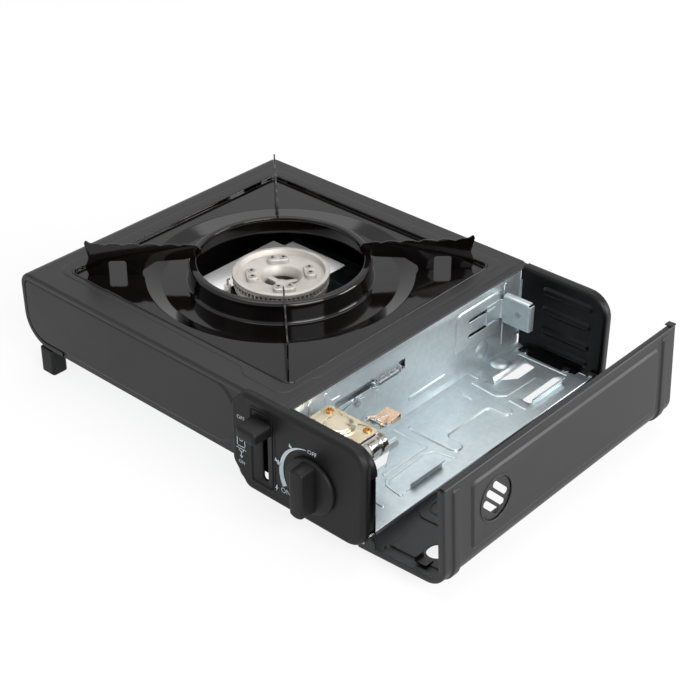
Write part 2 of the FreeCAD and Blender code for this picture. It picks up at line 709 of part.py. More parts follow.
# The lid's vent: a round recess with three slanting slots, and the two openings in its side
def cut_lid_vents(body):
    wall = d.sheet_steel
    middle = (-35.5, -82.0)
    recess = circle(middle[0], middle[1], d.window_radius)
    cup = circle(middle[0], middle[1], d.window_radius + wall)
    pad(body, "XY", [cup], d.lid_top - d.window_depth - wall, d.lid_top - wall / 2)
    pocket(body, "XY", [recess], d.lid_top - d.window_depth, d.lid_top + 1)
    slots = []
    for step, half in ((-6.9, 9.8), (0.0, 12.0), (6.9, 9.8)):
        slots.append(slanted_slot(middle[0] + step * 0.707, middle[1] - step * 0.707, half, 2.2))
    pocket(body, "XY", slots, d.lid_top - 6, d.lid_top + 1)
    oval = rectangle(-112.0, -97.0, 31.5, 45.0, 6.5)
    window = rectangle(-58.0, 4.0, 6.0, 39.0, 8)
    pocket(body, "YZ", [oval, window], d.lid_side - 2, d.lid_side + 1)


def slanted_slot(across, up, half_length, half_width):
    lean = math.sqrt(0.5)
    along = (lean * half_length, lean * half_length)
    beside = (-lean * half_width, lean * half_width)
    corners = []
    for a, b in ((-1, -1), (1, -1), (1, 1), (-1, 1)):
        corners.append((across + a * along[0] + b * beside[0], up + a * along[1] + b * beside[1],
                        half_width * 0.9))
    return corners


def make_lid_catch():
    body = new_body("lid_catch", hinge_across, 0, d.hinge_height, (0, 1, 0), d.lid_open)
    inner = d.lid_side - d.sheet_steel
    near = 1.2 - bay_front
    pad(body, "YZ", [rectangle(near, near + 8, 34, 43, 1)], inner - 1, inner)
    pad(body, "XY", [rectangle(inner - 4.5, inner - 0.5, near, near + 8)], 34, 35)


# Control panel, knob and lock lever

def panel_outline(inset):
    left = d.panel_left + inset
    right = bay_right + 0.5 - inset
    low = d.panel_base + inset
    top = d.cover_height + d.panel_rise - inset
    return [(left + 13 - inset / 2, low, 3), (right, low, d.panel_corner - inset),
            (right, top, d.panel_corner - inset), (left + 11 - inset / 2, top, 4), (left, top - 11, 5),
            (left, low + 18 - inset / 2, 4)]


def make_control_panel():
    body = new_body("control_panel")
    wall = d.panel_wall
    pad(body, "XZ", [panel_outline(0)], panel_face, panel_back)
    face = panel_face.number
    soften(body, 2.2, lambda box: box.YMax < face + 0.01)
    pocket(body, "XZ", [panel_outline(wall)], panel_face + wall, panel_back + 1)
    channel_low = d.lever_height - d.lever_travel - 14
    channel_high = d.lever_height + 11
    half = d.lever_grip_width / 2 + 1
    pad(body, "XZ", [rectangle(d.lever_across - half - 2, d.lever_across + half + 2, channel_low - 2,
                               channel_high + 2)], panel_face + wall / 2, panel_face + wall + d.channel_depth)
    channel = rectangle(d.lever_across - half, d.lever_across + half, channel_low, channel_high, 1)
    pocket(body, "XZ", [channel], panel_face - 1, panel_face + d.channel_depth)
    slot_half = d.lever_stem / 2 + d.gap_fine
    slot = rectangle(slot_across - slot_half, slot_across + slot_half, d.lever_height - d.lever_travel - 9,
                     d.lever_height + 6, 2.4)
    pocket(body, "XZ", [slot], panel_face, panel_face + 8)
    ring = [rectangle(d.panel_left + 5, hinge_across - 8, d.bay_floor + 2, d.cover_height - 4.8, 8),
            rectangle(d.panel_left + 6.5, hinge_across - 9.5, d.bay_floor + 3.5, d.cover_height - 6.3, 6.5)]
    pad(body, "XZ", ring, panel_face + wall / 2, front)
    studs = [circle(across, up, 3) for across, up in panel_screw_spots()]
    pad(body, "XZ", studs, panel_face + wall / 2, front + d.sheet_steel)
    shaft_hole = circle(d.knob_across, d.knob_height, d.shaft_radius + 0.6)
    pocket(body, "XZ", [shaft_hole], panel_face - 1, panel_back + 1)
    pilots = [circle(across, up, 1.2) for across, up in panel_screw_spots()]
    pocket(body, "XZ", pilots, front - 3, front + 2)


def panel_screw_spots():
    return [(d.panel_left + 9.5, 30.0), (d.panel_left + 9.5, 68.0)]


def make_knob():
    body = new_body("control_knob", d.knob_across, 0, d.knob_height)
    back_face = panel_face - d.gap_fine
    skirt_front = back_face - d.knob_skirt
    tip = panel_face - d.knob_reach
    pad(body, "XZ", [circle(0, 0, d.knob_radius)], skirt_front, back_face)
    half = d.grip_width / 2
    reach = d.knob_radius - 0.6
    grip = [(-half, 1.8 - reach, 3), (0, -reach - 0.4, 9), (half, 1.8 - reach, 3),
            (half, reach - 1.8, 3), (0, reach + 0.4, 9), (-half, reach - 1.8, 3)]
    pad(body, "XZ", [grip], tip, skirt_front + 1)
    front_edge = tip.number
    soften(body, 1.6, lambda box: box.YMax < front_edge + 0.01)
    pocket(body, "XZ", [circle(0, 0, d.shaft_radius)], back_face - 9, back_face + 1)
    start = back_face - 9
    end = 8 - d.regulator_front
    shaft = rod("Y", (d.knob_across, start, d.knob_height), d.shaft_radius, end - start)
    place(grouped([shaft]), "knob_shaft")


def make_lock_lever():
    body = new_body("lock_lever")
    half = d.lever_grip_width / 2
    low = d.lever_height - d.lever_grip_height / 2
    high = d.lever_height + d.lever_grip_height / 2
    channel_face = panel_face + d.channel_depth
    grip = rectangle(d.lever_across - half, d.lever_across + half, low, high, 2)
    pad(body, "XZ", [grip], panel_face - d.lever_reach, channel_face - d.gap_fine)
    tip = (panel_face - d.lever_reach).number
    soften(body, 1.8, lambda box: box.YMax < tip + 0.01)
    stem_half = d.lever_stem / 2
    stem = rectangle(slot_across - stem_half, slot_across + stem_half, d.lever_height - 4, d.lever_height + 4, 1)
    pad(body, "XZ", [stem], panel_face - 2, peg_back - 4)
    keeper = rectangle(d.lever_across - 5, slot_across + 7, d.lever_height - 6, d.lever_height + 6, 1)
    keeper_front = panel_face + d.panel_wall + d.channel_depth + d.gap_fine
    pad(body, "XZ", [keeper], keeper_front, keeper_front + 1.6)
    arm = rectangle(slot_across - stem_half, bar_left - d.gap_fine * 2, d.lever_height - 4, d.lever_height + 4)
    pad(body, "XZ", [arm], peg_back - 6, peg_back + 3)
    peg = circle(peg_back, d.lever_height, d.peg_radius)
    pad(body, "YZ", [peg], bar_left - 1, bar_right + 1.2)


# Slide bar with its slanted slot, in which the lever's peg runs
def make_slide_bar():
    body = new_body("slide_bar")
    low = d.lever_height - d.lever_travel
    high = d.lever_height
    half = d.peg_radius + d.gap_fine
    plate = rectangle(peg_back - 5.5, peg_back + d.pusher_travel + 5.5, low - 7, high + 7, 3)
    pad(body, "YZ", [plate], bar_left, bar_right)
    strip_low = d.bar_level - d.bar_height / 2
    strip_high = d.bar_level + d.bar_height / 2
    tail = d.pusher_face - 4.2
    pad(body, "YZ", [rectangle(peg_back, tail, strip_low, strip_high)], bar_left, bar_right)
    pad(body, "YZ", [rectangle(tail - 14, tail, strip_high - 19, strip_high, 1)], bar_left, bar_right)
    slope = d.pusher_travel / d.lever_travel
    rise = (slope * slope + 1.0).number ** 0.5
    side = half * rise
    end = half
    slot = [(peg_back - side - slope * end, high + end, 1.6), (peg_back + side - slope * end, high + end, 1.6),
            (peg_back + d.pusher_travel + side + slope * end, low - end, 1.6),
            (peg_back + d.pusher_travel - side + slope * end, low - end, 1.6)]
    pocket(body, "YZ", [slot], bar_left - 1, bar_right + 1)
    tab = rectangle(bar_right - 0.2, hook_tip, d.bar_level - 2.2, d.bar_level + 2.2)
    pad(body, "XZ", [tab], moving_tab, moving_tab + d.bar_thickness)
    pocket(body, "XZ", [hook_eye()], moving_tab - 1, moving_tab + 3)


def make_can_pusher():
    body = new_body("can_pusher")
    outer = partition_face + 2.3
    leaf = outer + 1.0
    tail = d.pusher_face - 4.2
    low, high = d.can_height - 2, d.can_height + 21
    pad(body, "YZ", [rectangle(tail - 14, d.pusher_face + 1, low - 1, high - 2, 1)], outer, leaf)
    face = rectangle(outer, outer + d.pusher_reach, low, high, 1.5)
    pad(body, "XZ", [face], d.pusher_face, d.pusher_face + 1)
    pad(body, "XZ", [rectangle(outer + 2, outer + d.pusher_reach, high - 1, high)], d.pusher_face,
        d.pusher_face + 6)
    for level in (60.0, 47.0):
        pad(body, "YZ", [rectangle(tail - 12, tail - 2, level - 1, level + 1)], bar_right, outer + 0.5)
    hole = circle(outer + d.pusher_reach * 0.6, d.can_height + 9.5, 1.3)
    pocket(body, "XZ", [hole], d.pusher_face - 1, d.pusher_face + 2)
    rivet = screw("Y", (outer + d.pusher_reach * 0.6, d.pusher_face, d.can_height + 9.5), 1.3, 1.8, 2.2, 0.8)
    place(rivet, "pusher_rivet")


# Latch lever on the partition
def make_latch():
    body = new_body("latch_lever")
    pivot = (d.hook_back - 44.5, d.bar_level - 6.5)
    near = partition_face + 1.4
    blade = [(pivot[0] - 18, pivot[1] - 5.0, 1), (pivot[0] + 1, pivot[1] - 4.2, 2),
             (pivot[0] + 9, pivot[1] - 3.5, 1), (pivot[0] + 9, pivot[1] + 0.5, 1),
             (pivot[0] + 1, pivot[1] + 2.4, 2), (pivot[0] - 18, pivot[1] - 1.6, 1)]
    pad(body, "YZ", [blade], near, near + 1)
    pad(body, "YZ", [circle(pivot[0], pivot[1], 3.4)], near - 1.0, near + 1.3)
    pocket(body, "YZ", [circle(pivot[0], pivot[1], 1.5 + d.pin_play)], near - 3, near + 3)
    rivet = screw("X", (partition_face, pivot[0], pivot[1]), 1.5, 3.0, 2.6, 0.7, False)
    place(rivet, "latch_pin")
    return pivot


# Spill tray and pan supports

def make_drip_tray():
    body = new_body("drip_tray")
    wall = d.tray_wall
    rim_top = d.cover_height + d.tray_rim_height
    rest = ledge_top + 0.1
    outer = centred(0, 0, d.tray_width, d.tray_depth, d.tray_corner)
    inner = centred(0, 0, d.tray_width - d.tray_rim * 2, d.tray_depth - d.tray_rim * 2, d.tray_corner - d.tray_rim)
    under = centred(0, 0, d.tray_width - d.tray_rim * 2, d.tray_depth - d.tray_rim * 2, d.tray_corner - d.tray_rim)
    pad(body, "XY", [outer], rest, rim_top)
    top = rim_top.number
    soften(body, 1.1, lambda box: box.ZMin > top - 0.01)
    pocket(body, "XY", [inner], tray_floor, rim_top + 1)
    pocket(body, "XY", [under], rest - 1, tray_floor - wall)
    pocket(body, "XY", [circle(0, 0, d.well_radius + wall / 2)], rest - 1, rim_top + 1)
    well = d.cover_height - d.well_drop
    inside = d.collar_radius - wall
    profile = [(d.collar_mouth, collar_top - wall), (d.collar_mouth, collar_top, 0.6),
               (d.collar_radius, collar_top, 2.6), (d.collar_radius, well, 2.5), (d.well_radius, well, 1.5),
               (d.well_radius, tray_floor, 0.4), (d.well_radius + wall, tray_floor),
               (d.well_radius + wall, well - wall, 1.5), (inside, well - wall, 1.5),
               (inside, collar_top - wall, 1.6)]
    spin(body, "XZ", [profile])


def blade_outline():
    top = d.cover_height + d.blade_top
    tip = d.cover_height + d.blade_tip
    reach = d.blade_reach
    floor = tray_floor
    arch = d.cover_height + 8
    ring = collar_top
    inner_end = d.collar_mouth - 4
    window = reach - 30
    outline = [(reach - 2, floor), (reach, d.cover_height + 4, 3), (reach - 3, d.cover_height + 12, 6),
               (reach - 0.5, top + 1, 2), (reach - 1.5, tip, 1), (reach - 5, top + 1.2, 3)]
    waves = 5
    run = reach - 12 - inner_end - 6
    for step in range(waves):
        start = reach - 11 - run * step / waves
        drop = 1.4 * step / waves
        outline += [(start, top - drop + 0.7), (start - 4, top - drop - 0.8), (start - 8, top - drop + 0.5)]
    outline += [(inner_end + 3, top - 2.0, 2), (inner_end, top - 5.5, 1.5), (inner_end + 1, ring + 4, 1.5),
                (inner_end + 4.6, ring), (d.collar_radius - 0.4, ring), (d.collar_radius + 3, arch + 1.2, 2),
                (d.well_radius - 9, arch, 6), (d.well_radius + 1, floor + 3, 4), (d.well_radius + 1.5, floor),
                (window, floor), (window, d.cover_height + 8.8, 2), (window + 12.8, d.cover_height + 8.8, 2),
                (window + 12.8, floor)]
    return outline


def make_pan_supports():
    corner = math.degrees(math.atan2(d.tray_depth.number, d.tray_width.number))
    turns = (180 + corner, 360 - corner, corner, 180 - corner)
    blade = doc.addObject("PartDesign::Body", "Blade")
    half = d.blade_thickness / 2
    pad(blade, "XZ", [blade_outline()], -half, half)
    for number, turn in enumerate(turns, start=1):
        copy = grouped([blade])
        copy.Placement.Rotation = FreeCAD.Rotation(FreeCAD.Vector(0, 0, 1), 1.0)
        copy.setExpression("Placement.Rotation.Angle", text_of(turn))
        place(copy, "pan_support_%d" % number)


# Burner and gas path

def boss_angles():
    return (50.0, 140.0, 230.0, 320.0)


def port_spots():
    spots = []
    for angle in boss_angles():
        for lean in (-d.port_lean.number, d.port_lean.number):
            turn = math.radians(angle + lean)
            spots.append((d.boss_circle * math.cos(turn), d.boss_circle * math.sin(turn)))
    return spots


def make_burner_head():
    body = new_body("burner_head")
    rim = d.burner_radius - d.burner_rim
    dish = burner_top - 4.0
    profile = [(d.middle_radius, dish - 5.7), (d.middle_radius + 4, dish, 2), (rim - 2.5, dish, 2),
               (rim, burner_top, 0.6), (d.burner_radius, burner_top, 1.5),
               (d.burner_radius, burner_top - 4, 0.5), (d.burner_radius - 1.5, burner_top - 4.5),
               (d.burner_radius - 1.5, skirt_base), (d.burner_radius - 4.0, skirt_base),
               (d.burner_radius - 4.0, dish - 2, 1), (d.middle_radius + 3.5, dish - 2, 2),
               (d.middle_radius, dish - 7.7)]
    spin(body, "XZ", [profile])
    bosses = []
    for angle in boss_angles():
        turn = math.radians(angle)
        ahead = (math.cos(turn), math.sin(turn))
        aside = (-math.sin(turn), math.cos(turn))
        corners = []
        for out, over in ((-4.0, -7.2), (4.0, -7.2), (4.0, 7.2), (-4.0, 7.2)):
            corners.append((d.boss_circle * ahead[0] + out * ahead[0] + over * aside[0],
                            d.boss_circle * ahead[1] + out * ahead[1] + over * aside[1]))
        bosses.append(corners)
    pad(body, "XY", bosses, dish - 1, dish + 3.2)
    hub = [circle(0, 0, 4.5)]
    pad(body, "XY", hub, dish - 7.7, dish - 5.8)
    for angle in (60.0, 180.0, 300.0):
        spoke = slanted_bar(angle, d.middle_radius.number + 0.8, 2.2)
        pad(body, "XY", [spoke], dish - 7.6, dish - 5.9)
    holes = [circle(across, back, d.port_radius + d.bushing_wall) for across, back in port_spots()]
    pocket(body, "XY", holes, dish - 3, burner_top)


def slanted_bar(angle, length, half_width):
    turn = math.radians(angle)
    ahead = (math.cos(turn), math.sin(turn))
    aside = (-math.sin(turn), math.cos(turn))
    return [(out * ahead[0] + over * aside[0], out * ahead[1] + over * aside[1])
            for out, over in ((0.5, -half_width), (length, -half_width), (length, half_width), (0.5, half_width))]


def make_port_bushings():
    top = burner_top - 0.6
    bushings = []
    for across, back in port_spots():
        outer = rod("Z", (across, back, top - 5.4), d.port_radius + d.bushing_wall, 5.4)
        inner = rod("Z", (across, back, top - 6), d.port_radius, 8)
        bushings.append(without(outer, inner))
    place(grouped(bushings), "port_bushings")


def make_burner_body():
    body = new_body("burner_body")
    lip = d.burner_radius - 3.0
    low = d.gas_level - d.tube_radius - 2
    profile = [(0, low), (13, low, 3), (15, d.gas_level + 7, 6), (24, skirt_base - 6, 3),
               (lip, skirt_base - 1.4, 1), (lip, skirt_base), (lip - 3, skirt_base),
               (22.5, skirt_base - 4, 3), (12.5, d.gas_level + 9, 5), (11, low + 2, 2), (0, low + 2)]
    spin(body, "XZ", [profile])
    neck = circle(0, d.gas_level, d.tube_radius + 1.4)
    pad(body, "YZ", [neck], 12.5, 24)
    pocket(body, "YZ", [circle(0, d.gas_level, d.tube_radius)], 5, 25)


def make_mixing_tube():
    body = new_body("mixing_tube")
    wall = 1.0
    inside = d.tube_radius - wall
    mouth = 86.0
    pad(body, "YZ", [circle(0, d.gas_level, d.tube_radius), circle(0, d.gas_level, inside)], 13, mouth)
    pad(body, "YZ", [circle(0, d.gas_level, d.tube_radius + 2), circle(0, d.gas_level, inside)], mouth - 2, mouth)
    vents = rectangle(mouth - 14, mouth - 5, -3, 3, 2)
    pocket(body, "XY", [vents], d.gas_level - 12, d.gas_level + 12)
    body = new_body("jet_holder")
    start = mouth - 6.0
    pad(body, "YZ", [circle(0, d.gas_level, inside)], start, start + 9)
    flats = [(6.0 * math.cos(math.radians(60 * k)), d.gas_level + 6.0 * math.sin(math.radians(60 * k)))
             for k in range(6)]
    pad(body, "YZ", [flats], start + 9, start + 16)
    pocket(body, "YZ", [circle(0, d.gas_level, 0.6)], start - 1, start + 3)
    pocket(body, "YZ", [circle(0, d.gas_level, d.gas_pipe_radius)], start + 3, start + 17)
    return start


# An arc tangent to the two equal legs that meet at a corner
def bend(start, corner, end):
    back = (start - corner).normalize()
    ahead = (end - corner).normalize()
    half = back.getAngle(ahead) / 2
    radius = (start - corner).Length * math.tan(half)
    middle = corner + (back + ahead).normalize() * (radius / math.sin(half) - radius)
    return Part.Arc(start, middle, end).toShape(), radius


# Straight runs joined by arcs, which take 0.45 of the shorter run unless a radius is given
def run_with_bends(points, radius=None):
    edges = []
    radii = []
    begin = points[0]
    for before, corner, after in zip(points, points[1:], points[2:]):
        back, ahead = before - corner, after - corner
        reach = 0.45 * min(back.Length, ahead.Length)
        if radius is not None:
            reach = radius / math.tan(back.getAngle(ahead) / 2)
        enter = corner + back.normalize() * reach
        leave = corner + ahead.normalize() * reach
        edges.append(Part.LineSegment(begin, enter).toShape())
        arc, made = bend(enter, corner, leave)
        edges.append(arc)
        radii.append(made)
        begin = leave
    edges.append(Part.LineSegment(begin, points[-1]).toShape())
    print("bend radii:", ", ".join("%.1f" % made for made in radii))
    return Part.Wire(edges)


def swept(path, radius):
    first = path.Edges[0]
    heading = first.tangentAt(first.FirstParameter)
    section = Part.Wire([Part.Circle(path.Vertexes[0].Point, heading, radius).toShape()])
    solid = path.makePipeShell([section], True, False)
    expected = math.pi * radius * radius * path.Length
    print("tube %.1f mm long, volume %.4f of section times length" % (path.Length, solid.Volume / expected))
    return solid


def vector(*values):
    return FreeCAD.Vector(*[number_of(value) for value in values])


# A piece whose shape is worked out here from the sheet's values
def place_shape(shape, label):
    feature = doc.addObject("Part::Feature", label)
    feature.Shape = shape
    return place(feature, label)


def make_gas_pipe(jet_start):
    level = d.gas_level
    turn = 112.0
    points = [vector(jet_start + 4, 0, level), vector(turn, 0, level), vector(turn, -90, level),
              vector(d.can_across - 14, -90, level)]
    place_shape(swept(run_with_bends(points, 9.0), d.gas_pipe_radius.number), "gas_pipe")


def make_supports():
    body = new_body("burner_stand")
    low = d.gas_level - d.tube_radius - 2
    wall = 1.0
    pad(body, "YZ", [rectangle(-22, 22, low - wall, low)], -9, 9)
    for side in (-1, 1):
        inner, outer = side * 21.0, side * 22.0
        pad(body, "YZ", [rectangle(min(inner, outer), max(inner, outer), base_top, low)], -9, 9)
        pad(body, "YZ", [rectangle(min(inner, side * 32.0), max(inner, side * 32.0), base_top, base_top + wall)],
            -9, 9)
    body = new_body("reflector_plate")
    top = d.cover_height - d.mirror_drop
    half = d.mirror_half_depth
    thick = 0.6
    plate = [(-d.mirror_left, -half, 2), (d.mirror_right, -half, 2), (d.mirror_right, half, 2),
             (12 - d.mirror_left, half), (12 - d.mirror_left, half - 9), (-d.mirror_left, half - 9)]
    pad(body, "XY", [plate], top - thick, top)
    pocket(body, "XY", [rectangle(-31, d.mirror_right + 5, -31, 31, 6)], top - 2, top + 1)
    x, y = electrode_spot()
    pocket(body, "XY", [circle(x, y, 2.6)], top - 2, top + 1)
    for side in (-1, 1):
        near, far = side * (half - thick), side * half
        start, end = (near, far) if side > 0 else (far, near)
        pad(body, "XZ", [rectangle(-34, -14, base_top, top)], start, end)


def electrode_spot():
    turn = math.radians(222)
    reach = d.burner_radius.number + 3.5
    return reach * math.cos(turn), reach * math.sin(turn)


def make_ignition():
    x, y = electrode_spot()
    low = base_top + 10
    sleeve = rod("Z", (x, y, low), 2.6, skirt_base - low)
    wider = rod("Z", (x, y, low + 6), 3.6, 4.0)
    bore = rod("Z", (x, y, low - 1), 0.8, 60)
    place(without(fused(sleeve, wider), bore), "electrode_insulator")
    needle = vector(x, y, low - 1)
    tip = skirt_base.number + 4.5
    points = [needle, vector(x, y, tip), vector(x * 0.955, y * 0.955, tip + 0.9)]
    place_shape(swept(run_with_bends(points, 1.3), 0.75), "electrode")
    body = new_body("piezo_igniter")
    pad(body, "XZ", [rectangle(d.knob_across - 13, d.knob_across + 13, d.knob_height - 12, d.knob_height + 12, 2)],
        -bay_front, -d.regulator_front)
    pocket(body, "XZ", [circle(d.knob_across, d.knob_height, d.shaft_radius + d.pin_play)],
           -bay_front - 1, -d.regulator_front + 1)
    make_ignition_lead(x, y, low)


# The ignition wire, from the igniter through the partition to the electrode
def make_ignition_lead(x, y, low):
    level = base_top + 1.6
    start = d.knob_across - 13
    turn = start - 7
    points = [vector(start, -118.5, level + 14), vector(turn, -118.5, level + 14),
              vector(turn - 6, -116, level), vector(118, -108, level), vector(80, -90, level),
              vector(45, -66, level), vector(5, -50, level), vector(x + 8, y - 11, level),
              vector(x, y, level + 0.3), vector(x, y, low - 1)]
    place_shape(swept(run_with_bends(points), d.lead_radius.number), "ignition_lead")


# Regulator

def make_regulator():
    body = new_body("regulator_body")
    front_face = -d.regulator_front
    back_face = -d.inlet_mouth - d.inlet_length
    left = d.can_across - 17
    pad(body, "XZ", [rectangle(left, d.can_across + 12, 33, 59, 4)], front_face, back_face)
    top = d.regulator_plate_top
    across, back = d.regulator_across, -d.diaphragm_back
    pad(body, "XY", [circle(across, back, 9)], 57, top - 1)
    pad(body, "XY", [centred(across, back, 43, 28, 3)], top - 2.5, top)
    lug_left, lug_right = tongue_left - 1.5, tongue_right + 1.5
    axis_back = tongue_axis[0]
    pad(body, "XY", [rectangle(lug_left, lug_right, back + 13, axis_back - 3.1)], top - 2.5, top)
    lugs = [rectangle(lug_left, lug_left + 1.2, axis_back - 5, axis_back + 2.4),
            rectangle(lug_right - 1.2, lug_right, axis_back - 5, axis_back + 2.4)]
    pad(body, "XY", lugs, top - 2.5, top + 4)
    pocket(body, "YZ", [circle(tongue_axis[0], tongue_axis[1], 1.0)], lug_left - 1, lug_right + 1)
    shaft_hole = circle(d.knob_across, d.knob_height, d.shaft_radius + d.pin_play)
    pocket(body, "XZ", [shaft_hole], front_face - 1, front_face + 8.4)
    pocket(body, "XY", [circle(x, y, 1.4) for x, y in regulator_screw_spots()], top - 3, top + 1)
    pocket(body, "XZ", [circle(d.can_across, d.can_height, 2.2)], back_face - 5, back_face + 1)
    pocket(body, "YZ", [circle(-90, d.gas_level, d.gas_pipe_radius)], left - 1, left + 3)


def regulator_screw_spots():
    return [(d.regulator_across + side * 16.5, end * 8.5 - d.diaphragm_back) for side in (-1, 1) for end in (-1, 1)]


def make_regulator_parts():
    top = d.regulator_plate_top
    gasket_top = top + 0.8
    plate_top = gasket_top + 1.2
    across, back = d.regulator_across, -d.diaphragm_back
    holes = [circle(x, y, 1.4) for x, y in regulator_screw_spots()]
    body = new_body("diaphragm_gasket")
    pad(body, "XY", [centred(across, back, 42, 27, 3)] + holes, top, gasket_top)
    body = new_body("diaphragm_cover")
    pad(body, "XY", [centred(across, back, 43, 28, 3)] + holes, gasket_top, plate_top)
    pad(body, "XY", [circle(across, back, d.diaphragm_radius)], plate_top - 0.6, plate_top + 3.2)
    dome_top = (plate_top + 3.2).number
    soften(body, 2.6, lambda box: box.ZMin > dome_top - 0.01)
    pocket(body, "XY", [circle(across, back, d.diaphragm_radius - 1.2)], gasket_top - 1, plate_top + 1.6)
    screws = [screw("Z", (x, y, top - 2.5), 1.4, 2.5 + 2.0, 2.7, 1.6, False) for x, y in regulator_screw_spots()]
    place(grouped(screws), "regulator_screws")
    body = new_body("inlet_collar")
    mouth = -d.inlet_mouth
    ring = [circle(d.can_across, d.can_height, d.inlet_radius), circle(d.can_across, d.can_height, d.inlet_bore)]
    pad(body, "XZ", ring, mouth - d.inlet_length, mouth)
    bead = [circle(d.can_across, d.can_height, d.inlet_radius + 0.8),
            circle(d.can_across, d.can_height, d.inlet_radius - 0.5)]
    pad(body, "XZ", bead, mouth - 3.4, mouth - 1.6)
    body = new_body("inlet_seal")
    seal = [circle(d.can_across, d.can_height, d.inlet_bore), circle(d.can_across, d.can_height, 2.2)]
    pad(body, "XZ", seal, mouth - d.inlet_length, mouth - d.inlet_length + 1.5)


# The sprung tongue that drops into the cartridge's notch
def make_tongue():
    body = new_body("guide_tongue")
    y, z = tongue_axis
    strip = [(y + 3.6, z - 1.4), (y + 18, z + 0.4), (y + 18, z - 0.6), (y + 3.4, z - 2.4)]
    pad(body, "YZ", [strip], tongue_left + 0.5, tongue_right - 0.5)
    hem = [(y + 9, z - 1.0), (y + 18, z - 0.2), (y + 18, z - 4.4), (y + 9, z - 4.0)]
    pad(body, "YZ", [hem], tongue_right - 1.5, tongue_right - 0.5)
    ear = [(y - 2.4, z - 2.4, 1.7), (y + 4.6, z - 3.0), (y + 4.6, z + 0.4, 1), (y - 2.4, z + 2.4, 1.7)]
    for start in (tongue_left + 0.5, tongue_right - 1.5):
        pad(body, "YZ", [ear], start, start + 1.0)
    pocket(body, "YZ", [circle(y, z, 1.0 + d.pin_play)], tongue_left, tongue_right)
    pin = rod("X", (tongue_left - 1.5, y, z), 1.0, tongue_right - tongue_left + 3.0)
    place(grouped([pin]), "tongue_pin")


# Springs

# Points and headings of a helix about the X axis, turning clockwise as seen from its start
def coil_points(radius, pitch, first, turns):
    count = int(math.ceil(turns * 4))
    rise = pitch / (2 * math.pi)
    points = []
    headings = []
    for step in range(count + 1):
        angle = 2 * math.pi * turns * step / count
        at = math.radians(first) - angle
        points.append(FreeCAD.Vector(rise * angle, radius * math.cos(at), radius * math.sin(at)))
        headings.append(FreeCAD.Vector(rise, radius * math.sin(at), -radius * math.cos(at)).normalize())
    return points, headings


# Two arcs that leave one point and reach the next, tangent at both ends and where they meet
def biarc(start, first, end, last):
    chord = end - start
    both = first + last
    spread = 4 - both.dot(both)
    along = chord.dot(both)
    if spread < 1e-9:
        reach = chord.dot(chord) / (2 * along)
    else:
        reach = (math.sqrt(along * along + spread * chord.dot(chord)) - along) / spread
    corner = start + first * reach
    other = end - last * reach
    middle = (corner + other) * 0.5
    return [bend(start, corner, middle)[0], bend(middle, other, end)[0]]


def coil_edges(points, headings):
    edges = []
    for start, first, end, last in zip(points, headings, points[1:], headings[1:]):
        edges += biarc(start, first, end, last)
    return edges


# The least gap between stretches of one wire that lie further apart along it than the given length
def print_gap(label, path, wire, apart):
    count = int(path.Length / 0.25)
    spots = path.discretize(Number=count)
    step = path.Length / (count - 1)
    skip = int(apart / step)
    least = min((spots[i] - spots[j]).Length for i in range(count) for j in range(i + skip, count))
    print("%s: least gap to itself %.2f mm on %d points" % (label, least - wire, count))


# The extension spring lies along Y; each end passes through a tab's eye and turns back round its tip
def make_lever_spring():
    coil = d.spring_coil.number
    wire = d.spring_wire.number
    turns = d.spring_turns.number + 0.75
    length = turns * d.spring_pitch.number
    near_tab = moving_tab.number
    far_tab = d.hook_back.number + d.zinc_steel.number
    start = (near_tab + far_tab - length) / 2
    local, local_headings = coil_points(coil, d.spring_pitch.number, 135, turns)
    centre = vector(d.spring_across, start, d.spring_level)

    def turned(point):
        return FreeCAD.Vector(point.y, point.x, point.z)
    points = [centre + turned(point) for point in local]
    headings = [turned(heading) for heading in local_headings]
    edges = coil_edges(points, headings)
    back_way = FreeCAD.Vector(0, 1, 0)
    lead_in = end_hook(centre.x, centre.z, coil, points[0], headings[0] * -1, near_tab - 0.6, -back_way)
    lead_out = end_hook(centre.x, centre.z, coil, points[-1], headings[-1], far_tab + 0.6, back_way)
    path = Part.Wire([turned_round(edge) for edge in reversed(lead_in)] + edges + lead_out)
    print_gap("lever_spring", path, wire, coil * 4)
    place_shape(swept(path, wire / 2), "lever_spring")


def turned_round(edge):
    middle = edge.valueAt((edge.FirstParameter + edge.LastParameter) / 2)
    if edge.Curve.TypeId == "Part::GeomLine":
        return Part.LineSegment(edge.Vertexes[-1].Point, edge.Vertexes[0].Point).toShape()
    return Part.Arc(edge.Vertexes[-1].Point, middle, edge.Vertexes[0].Point).toShape()


# From the coil's end to the side that faces the wall, along the axis past the tab, and back round its tip
def end_hook(across, level, coil, start, heading, turn_at, way):
    side = FreeCAD.Vector(across - coil, start.y, level) + way * coil
    edges = biarc(start, heading, side, way)
    corner = FreeCAD.Vector(across - coil, turn_at, level)
    edges.append(Part.LineSegment(side, corner).toShape())
    far_side = corner + FreeCAD.Vector(2 * coil, 0, 0)
    top = corner + FreeCAD.Vector(coil, 0, 0) + way * coil
    first_half = bend(corner, corner + way * coil, top)[0]
    second_half = bend(top, far_side + way * coil, far_side)[0]
    edges += [first_half, second_half]
    edges.append(Part.LineSegment(far_side, far_side - way * 1.6).toShape())
    return edges


